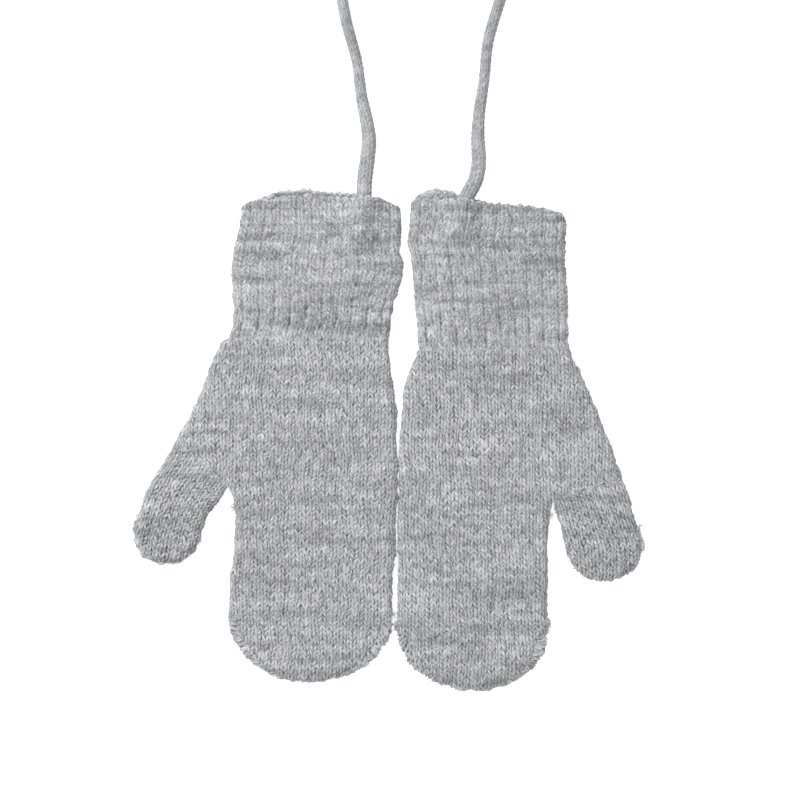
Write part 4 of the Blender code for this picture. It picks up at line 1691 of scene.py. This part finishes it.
# Loose fibres
@dataclass
class Fuzz:
    """Loose fibres that stand out of the knit, most of them along its outline."""

    seed: int
    count: int

    # Each fibre: a prism that tapers from joint to joint, and how its way strays
    shortest: float = 0.8
    longest: float = 3.2
    thickness: float = 0.042
    taper: tuple = (1.0, 0.9, 0.7, 0.25)
    sides: int = 3
    rise: float = 0.55
    curl: float = 0.55
    spread: tuple = (0.6, 0.6, 0.15)
    curl_spread: tuple = (1.0, 1.0, 0.4)
    return_share: float = 0.25
    root_depth: float = 0.1
    floor_room: float = 0.3
    tones: tuple = (0.55, 1.0)
    grain: float = 3.0

    # Where they grow: on what faces up, and more often along the outline
    lowest: float = 2.7
    facing_up: float = 0.05
    outline_up: float = 0.45
    outline_weight: float = 5.0

    # The tufts at the ends of the overlocking threads
    tufts: tuple = ()
    tuft_fibres: int = 24
    tuft_spread: float = 0.6
    tuft_stray: tuple = (0.7, 1.0, 0.4)
    tuft_push: float = 1.6
    tuft_rise: float = 0.2
    tuft_thickness: float = 0.085

    def skin(self, pieces: list[bpy.types.Object]) -> tuple[np.ndarray, np.ndarray]:
        """Lists the points of the pieces' outer faces that can be seen from above.

        Args:
            pieces: the knitted pieces that the fibres grow from.

        Returns:
            The places in mm and the directions away from the cloth.
        """
        found = []
        for name in ("co", "normal"):
            arrays = [np.empty(3 * len(piece.data.vertices), np.float32) for piece in pieces]
            for piece, array in zip(pieces, arrays):
                piece.data.vertices.foreach_get(name, array)
            found.append(np.concatenate(arrays).reshape(-1, 3))
        places, normals = found
        places = places / MM
        outside = (places[:, 2] > self.lowest) & (normals[:, 2] > self.facing_up)
        return places[outside], normals[outside]

    def roots(self, places: np.ndarray, normals: np.ndarray) -> tuple[np.ndarray, ...]:
        """Picks where the fibres start: anywhere, the outline more often, and in the tufts.

        Args:
            places: points of the outer faces.
            normals: the directions away from the cloth there.

        Returns:
            The fibres' places, directions and thicknesses.
        """
        weight = 1 + self.outline_weight * (normals[:, 2] < self.outline_up)
        rng = np.random.default_rng(self.seed)
        chosen = rng.choice(len(places), self.count, replace=False, p=weight / weight.sum())
        spots = [places[chosen]]
        ways = [normals[chosen]]
        for x, y, away_x, away_y in self.tufts:
            near = np.argmin((places[:, 0] - x) ** 2 + (places[:, 1] - y) ** 2)
            stray = rng.normal(size=(self.tuft_fibres, 3)) * self.tuft_spread
            spots.append(places[near] + stray * np.array(self.tuft_stray))
            way = [self.tuft_push * away_x, self.tuft_push * away_y, self.tuft_rise]
            ways.append(np.broadcast_to(way, stray.shape))
        thickness = np.full(self.count + len(self.tufts) * self.tuft_fibres, self.tuft_thickness)
        thickness[: self.count] = self.thickness
        return np.vstack(spots), np.vstack(ways), thickness

    def lines(
        self, places: np.ndarray, normals: np.ndarray, rng: np.random.Generator
    ) -> np.ndarray:
        """Grows the middle line of each fibre, with a small turn at each joint.

        Args:
            places: where the fibres start.
            normals: the directions away from the cloth there.
            rng: where the chance comes from.

        Returns:
            The joints of each fibre.
        """
        count = len(places)
        steps = len(self.taper) - 1
        step = rng.uniform(self.shortest, self.longest, (count, 1)) / steps
        heading = self.rise * normals + rng.normal(size=(count, 3)) * np.array(self.spread)
        heading /= np.linalg.norm(heading, axis=1)[:, None]
        stops = [places - self.root_depth * normals]
        for _ in range(steps):
            stops.append(stops[-1] + heading * step)
            turn = rng.normal(size=(count, 3)) * self.curl * np.array(self.curl_spread)
            heading = heading + turn - self.return_share * normals
            heading /= np.linalg.norm(heading, axis=1)[:, None]
        line = np.stack(stops, axis=1)
        line[..., 2] = np.maximum(line[..., 2], self.floor_room)
        return line

    def build(self, pieces: list[bpy.types.Object]) -> Shell:
        """Makes each fibre a thin tapering prism with closed ends.

        Args:
            pieces: the knitted pieces that the fibres grow from.

        Returns:
            The shell of all the fibres.
        """
        places, normals, thickness = self.roots(*self.skin(pieces))
        rng = np.random.default_rng(self.seed + 1)
        line = self.lines(places, normals, rng)
        ahead = np.gradient(line, axis=1)
        ahead /= np.linalg.norm(ahead, axis=2)[..., None]
        side = np.cross(ahead, ALMOST_UP)
        side /= np.maximum(np.linalg.norm(side, axis=2)[..., None], TINY)
        over = np.cross(side, ahead)
        turn = 2 * math.pi * np.arange(self.sides) / self.sides
        taper = np.array(self.taper)[None, :] * thickness[:, None]
        ring = side[:, :, None] * np.cos(turn)[:, None] + over[:, :, None] * np.sin(turn)[:, None]
        points = line[:, :, None] + ring * taper[..., None, None]
        index = np.arange(points.size // 3).reshape(points.shape[:3])
        a, d = index[:, :-1], index[:, 1:]
        b, c = np.roll(a, -1, axis=2), np.roll(d, -1, axis=2)
        faces = [np.stack([a, c, b], axis=-1), np.stack([a, d, c], axis=-1)]
        caps = [index[:, 0], index[:, -1, ::-1]]
        triangles = np.vstack([part.reshape(-1, 3) for part in faces + caps])
        tone = np.repeat(rng.uniform(*self.tones, len(places)), index[0].size)
        place = points.reshape(-1, 3)
        return Shell(place, triangles, place[:, :2] * self.grain, tone, np.zeros(len(tone)))


# Finishes
@dataclass(frozen=True)
class Nodes:
    """Places and links the nodes of one tree."""

    tree: bpy.types.NodeTree

    def feed(self, socket: bpy.types.NodeSocket, value: Value) -> None:
        """Links another node's output to an input, or gives the input a value.

        Args:
            socket: the input.
            value: what it takes.
        """
        if isinstance(value, bpy.types.NodeSocket):
            self.tree.links.new(value, socket)
        else:
            socket.default_value = value

    def add(self, kind: str, inputs: dict | None = None, **settings: Value) -> bpy.types.Node:
        """Adds a node.

        Args:
            kind: the node's type.
            inputs: a value or another node's socket for each named or numbered input.
            settings: the node's own properties.

        Returns:
            The new node.
        """
        node = self.tree.nodes.new(kind)
        for name, value in settings.items():
            setattr(node, name, value)
        for name, value in (inputs or {}).items():
            self.feed(node.inputs[name], value)
        return node

    def shade(self, looks: dict) -> None:
        """Feeds the Principled BSDF that the tree starts with.

        Args:
            looks: a value or another node's socket for each named input.
        """
        for name, value in looks.items():
            self.feed(self.tree.nodes["Principled BSDF"].inputs[name], value)

    def math(self, operation: str, *values: Value) -> bpy.types.NodeSocket:
        """Adds a Math node and returns its result."""
        return self.add("ShaderNodeMath", dict(enumerate(values)), operation=operation).outputs[0]

    def clamp(self, value: Value) -> bpy.types.NodeSocket:
        """Holds a value between 0 and 1."""
        return self.add("ShaderNodeClamp", {"Value": value}).outputs[0]

    def stretch(self, value: Value, span: tuple, reach: tuple = (0.0, 1.0)) -> bpy.types.NodeSocket:
        """Stretches one span of values over another."""
        names = ("From Min", "From Max", "To Min", "To Max")
        inputs = {"Value": value, **dict(zip(names, (*span, *reach)))}
        return self.add("ShaderNodeMapRange", inputs).outputs[0]

    def noise(self, place: Value, grain: Grain) -> bpy.types.NodeSocket:
        """Adds a Noise Texture, stretched by a Mapping node, and returns its value."""
        spread = self.add("ShaderNodeMapping", {"Vector": place, "Scale": grain.stretch}).outputs[0]
        inputs = {"Vector": spread, "Scale": grain.scale, "Detail": grain.detail}
        return self.add("ShaderNodeTexNoise", inputs).outputs[0]

    def blend(
        self, share: Value, first: Value, second: Value, way: str = "MIX"
    ) -> bpy.types.NodeSocket:
        """Mixes two colours.

        Args:
            share: how much of the second colour there is.
            first: the first colour.
            second: the second colour.
            way: Blender's name of the way that they mix.

        Returns:
            The mixed colour's socket.
        """
        inputs = {0: share, 6: first, 7: second}
        return self.add("ShaderNodeMix", inputs, data_type="RGBA", blend_type=way).outputs[2]


def new_material(name: str) -> tuple[bpy.types.Material, Nodes]:
    """Starts a material.

    Args:
        name: its name.

    Returns:
        The material and its tree's nodes.
    """
    material = bpy.data.materials.new(name)
    material.use_nodes = True
    return material, Nodes(material.node_tree)


@dataclass(frozen=True)
class Melange:
    """The yarn of light and dark fibres, in patches, streaks and flecks, with painted gap shade.

    Each grain is a noise: whether it follows the stitches or the place on the object, how it
    is stretched, its scale and detail, and its share of the mix. The middle is what the mix
    comes to on average.
    """

    patches: Grain = Grain(False, (0.62, 5.4, 1.0), 72.0, 2.0, 0.72)
    streaks: Grain = Grain(True, (0.45, 1.0, 1.0), 1.0, 1.0, 0.1)
    plies: Grain = Grain(True, (1.4, 3.2, 1.0), 1.0, 1.0, 0.5)
    fibres: Grain = Grain(True, (2.6, 6.5, 1.0), 1.0, 3.0, 0.8)
    flecks: Grain = Grain(False, (1.0, 1.0, 1.0), 2600.0, 1.0, 1.0)
    tone_share: float = 0.34
    middle: float = 1.73
    hue: Grain = Grain(False, (1.0, 1.8, 1.0), 260.0, 2.0)
    hue_span: tuple = (0.4, 0.62)
    warm: tuple = (1.02, 0.99, 1.0, 1.0)
    cold: tuple = (0.975, 1.01, 1.005, 1.0)
    # The painted shade in the gaps between stitches: a noise that makes it uneven, its spans, and
    # how fast it grows with depth
    depth: Grain = Grain(True, (0.9, 1.0, 1.0), 1.0, 1.0)
    gap_shade_span: tuple = (0.36, 0.64)
    gap_shade_reach: tuple = (0.5, 1.3)
    gap_shade_power: float = 1.7

    def group(self) -> bpy.types.NodeTree:
        """Builds the yarn as a node group.

        Returns:
            A group that gives the colour, with the painted shade in the gaps, and the height of the
            fibres.
        """
        group = bpy.data.node_groups.new("melange_yarn", "ShaderNodeTree")
        for name, way, kind in (
            ("Light", "INPUT", "Color"),
            ("Dark", "INPUT", "Color"),
            ("Gap Shade Colour", "INPUT", "Color"),
            ("Contrast", "INPUT", "Float"),
            ("Gap Shade Strength", "INPUT", "Float"),
            ("Colour", "OUTPUT", "Color"),
            ("Height", "OUTPUT", "Float"),
        ):
            group.interface.new_socket(name=name, in_out=way, socket_type=f"NodeSocket{kind}")
        nodes = Nodes(group)
        given = nodes.add("NodeGroupInput").outputs
        tone = nodes.add("ShaderNodeAttribute", attribute_name="tone").outputs["Fac"]
        gap = nodes.add("ShaderNodeAttribute", attribute_name="gap").outputs["Fac"]
        cloth = nodes.add("ShaderNodeUVMap", uv_map="stitches").outputs[0]
        solid = nodes.add("ShaderNodeTexCoord").outputs["Object"]
        heights = []
        mixed = nodes.math("MULTIPLY", tone, self.tone_share)
        for grain in (self.patches, self.streaks, self.plies, self.fibres, self.flecks):
            heights.append(nodes.noise(cloth if grain.on_cloth else solid, grain))
            mixed = nodes.math("MULTIPLY_ADD", heights[-1], grain.share, mixed)
        centred = nodes.math("SUBTRACT", mixed, self.middle)
        share = nodes.clamp(nodes.math("MULTIPLY_ADD", centred, given["Contrast"], 0.5))
        yarn = nodes.blend(share, given["Dark"], given["Light"])
        hue = nodes.stretch(nodes.noise(solid, self.hue), self.hue_span)
        yarn = nodes.blend(1.0, yarn, nodes.blend(hue, self.warm, self.cold), "MULTIPLY")
        # Painted shade: darker toward the gap shade colour the deeper a place lies between the
        # stitches
        depth = nodes.stretch(nodes.noise(cloth, self.depth), self.gap_shade_span, self.gap_shade_reach)
        depth = nodes.math("MULTIPLY", depth, given["Gap Shade Strength"])
        shade = nodes.math("MULTIPLY", nodes.math("POWER", gap, self.gap_shade_power), depth)
        colour = nodes.blend(nodes.clamp(shade), yarn, given["Gap Shade Colour"])
        height = nodes.math("ADD", *heights[-2:])
        nodes.add("NodeGroupOutput", {"Colour": colour, "Height": height})
        return group


@dataclass(frozen=True)
class KnitFinish:
    """A matt melange yarn: its lightest and darkest fibres, and the painted shade in its gaps."""

    slot: Slot
    light: tuple = (0.668, 0.678, 0.698)
    dark: tuple = (0.172, 0.177, 0.187)
    # The colour and the strength of the painted shade in the gaps between stitches
    gap_shade_colour: tuple = (0.055, 0.057, 0.062)
    contrast: float = 1.22
    gap_shade_strength: float = 1.07
    roughness: float = 0.95
    sheen: float = 0.25
    shine: float = 0.2
    bump: float = 0.00018
    bump_strength: float = 0.6

    def material(self, group: bpy.types.NodeTree) -> bpy.types.Material:
        """Builds the material from the shared group.

        Args:
            group: the melange group.

        Returns:
            The new material.
        """
        material, nodes = new_material(f"{self.slot.value}_yarn")
        values = {
            "Light": (*self.light, 1.0),
            "Dark": (*self.dark, 1.0),
            "Gap Shade Colour": (*self.gap_shade_colour, 1.0),
            "Contrast": self.contrast,
            "Gap Shade Strength": self.gap_shade_strength,
        }
        yarn = nodes.add("ShaderNodeGroup", values, node_tree=group).outputs
        relief = {
            "Strength": self.bump_strength,
            "Distance": self.bump,
            "Height": yarn["Height"],
        }
        nodes.shade(
            {
                "Base Color": yarn["Colour"],
                "Normal": nodes.add("ShaderNodeBump", relief).outputs[0],
                "Roughness": self.roughness,
                "Sheen Weight": self.sheen,
                "Specular IOR Level": self.shine,
            }
        )
        return material


FINISHES = (
    KnitFinish(Slot.PLAIN),
    KnitFinish(
        Slot.RIB,
        light=(0.568, 0.578, 0.598),
        dark=(0.15, 0.155, 0.165),
        contrast=1.9,
        gap_shade_strength=0.68,
    ),
    KnitFinish(
        Slot.THREAD,
        light=(0.55, 0.56, 0.58),
        dark=(0.16, 0.165, 0.175),
        gap_shade_strength=1.3,
    ),
    KnitFinish(
        Slot.STRING,
        light=(0.50, 0.505, 0.52),
        dark=(0.175, 0.18, 0.19),
        contrast=1.1,
        gap_shade_strength=0.8,
    ),
)


# Putting the pair together
SQUARE = ((-1, -1), (1, -1), (1, 1), (-1, 1))
WHITE = (1.0, 1.0, 1.0, 1.0)


@dataclass(frozen=True)
class Studio:
    """The pale floor, the soft light and the camera straight above."""

    view_wide: float = 259.6
    centre: tuple = (3.9, 13.0)
    cloth_height: float = 5.0
    lens: float = 120.0
    sensor: float = 36.0
    sight: float = 10.0
    floor_half: float = 4.0
    floor_tone: float = 0.65
    floor_glow: float = 0.75
    sky_strength: float = 0.88
    window_size: float = 0.9
    window_power: float = 27.0
    window_place: tuple = (-0.8, 0.7, 1.2)

    def camera(self) -> None:
        """A camera straight above, its distance such that the view is as wide as the photo's."""
        data = bpy.data.cameras.new("camera")
        data.lens = self.lens
        data.sensor_width = self.sensor
        data.clip_end = self.sight
        camera = add_object("camera", data)
        height = self.view_wide * self.lens / self.sensor + self.cloth_height
        camera.location = Vector((*self.centre, height)) * MM
        bpy.context.scene.camera = camera

    def floor(self) -> None:
        """A wide plain sheet at z = 0, almost white."""
        mesh = bpy.data.meshes.new("floor")
        corners = [(self.floor_half * x, self.floor_half * y, 0.0) for x, y in SQUARE]
        mesh.from_pydata(corners, [], [(0, 1, 2, 3)])
        material, nodes = new_material("pale_floor")
        nodes.shade(
            {
                "Base Color": (*(self.floor_tone,) * 3, 1.0),
                "Roughness": 1.0,
                "Specular IOR Level": 0.0,
                "Emission Color": WHITE,
                "Emission Strength": self.floor_glow,
            }
        )
        mesh.materials.append(material)
        add_object("floor", mesh)

    def light(self) -> None:
        """An even white sky and one large soft light from the upper left."""
        world = bpy.data.worlds.new("sky")
        world.use_nodes = True
        sky = world.node_tree.nodes["Background"]
        sky.inputs["Color"].default_value = WHITE
        sky.inputs["Strength"].default_value = self.sky_strength
        bpy.context.scene.world = world
        data = bpy.data.lights.new("window", "AREA")
        data.shape = "DISK"
        data.size = self.window_size
        data.energy = self.window_power
        window = add_object("window", data)
        window.location = self.window_place
        window.rotation_euler = (-window.location).to_track_quat("-Z", "Y").to_euler()
        bpy.context.scene.view_settings.view_transform = "Standard"

    def build(self) -> None:
        """Sets up the whole studio."""
        self.camera()
        self.floor()
        self.light()


@dataclass
class Pair:
    """The two mittens and their string, each piece in place of its CAD node.

    The flat sizes are those that each kind of cloth was knitted to, before its edges were
    joined, and the string's length is that of the real string, in metres.
    """

    hand_flat: tuple = (0.113, 0.110)
    cuff_flat: tuple = (0.110, 0.046)
    thumb_flat: tuple = (0.042, 0.033)
    string_length: float = 0.78
    string_diameter: float = 0.0044
    fibres: int = 3200
    thumb_tucked: float = 0.6
    materials: dict = field(init=False)

    def __post_init__(self) -> None:
        """Makes the finishes."""
        group = Melange().group()
        self.materials = {finish.slot: finish.material(group) for finish in FINISHES}

    def dress(self, piece: bpy.types.Object, slot: Slot, *nodes: str) -> None:
        """Gives a piece its finish and its body, and hides the CAD nodes that it stands for.

        Args:
            piece: the piece.
            slot: its slot in the record.
            nodes: the CAD nodes that it replaces.
        """
        piece.data.materials.append(self.materials[slot])
        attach(piece, "root")
        if nodes:
            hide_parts(*nodes)

    def string(self) -> None:
        """The joining string, from inside the left cuff to inside the right one."""
        string = JoiningString()
        piece = make_piece("joining_string", string.build(), None)
        self.dress(piece, Slot.STRING, "string_left", "string_right", "string_coil")

    def mitten(self, mitten: Mitten) -> None:
        """One mitten: cuff, hand, thumb, the two overlocked tips and the loose fibres.

        Args:
            mitten: its shape.
        """
        side = mitten.side
        knitted = []
        hand = Hand(mitten)
        thumb = Thumb(mitten)
        sheets = (
            ("cuff", Cuff(mitten), Slot.RIB, self.cuff_flat),
            ("hand", hand, Slot.PLAIN, self.hand_flat),
            ("thumb", thumb, Slot.PLAIN, self.thumb_flat),
        )
        for name, part, slot, flat in sheets:
            piece = make_piece(f"{side}_{name}_knit", part.build(), mitten)
            self.dress(piece, slot, f"{side}_{name}")
            knitted.append(piece)
        seams = (
            ("hand", hand, mitten.hand_leads, 0.0),
            ("thumb", thumb, (mitten.thumb_lead, 0.0), self.thumb_tucked),
        )
        for name, tube, leads, tucked in seams:
            seam = TipSeam(mitten, tube, leads, tucked)
            piece = make_piece(f"{side}_{name}_overlock", seam.build(), mitten)
            self.dress(piece, Slot.THREAD, f"{side}_{name}_seam")
            knitted.append(piece)
        seed = mitten.seed + Chance.FIBRES
        fuzz = Fuzz(seed=seed, count=self.fibres, tufts=TUFTS[side])
        piece = make_piece(f"{side}_fuzz", fuzz.build(knitted), None)
        self.dress(piece, Slot.PLAIN)

    def build(self) -> None:
        """Builds the string first, then both mittens."""
        self.string()
        self.mitten(LEFT)
        self.mitten(RIGHT)


def main() -> None:
    """Builds the studio and the pair."""
    logging.basicConfig(level=logging.INFO)
    Studio().build()
    Pair().build()


if __name__ == "__main__":
    main()
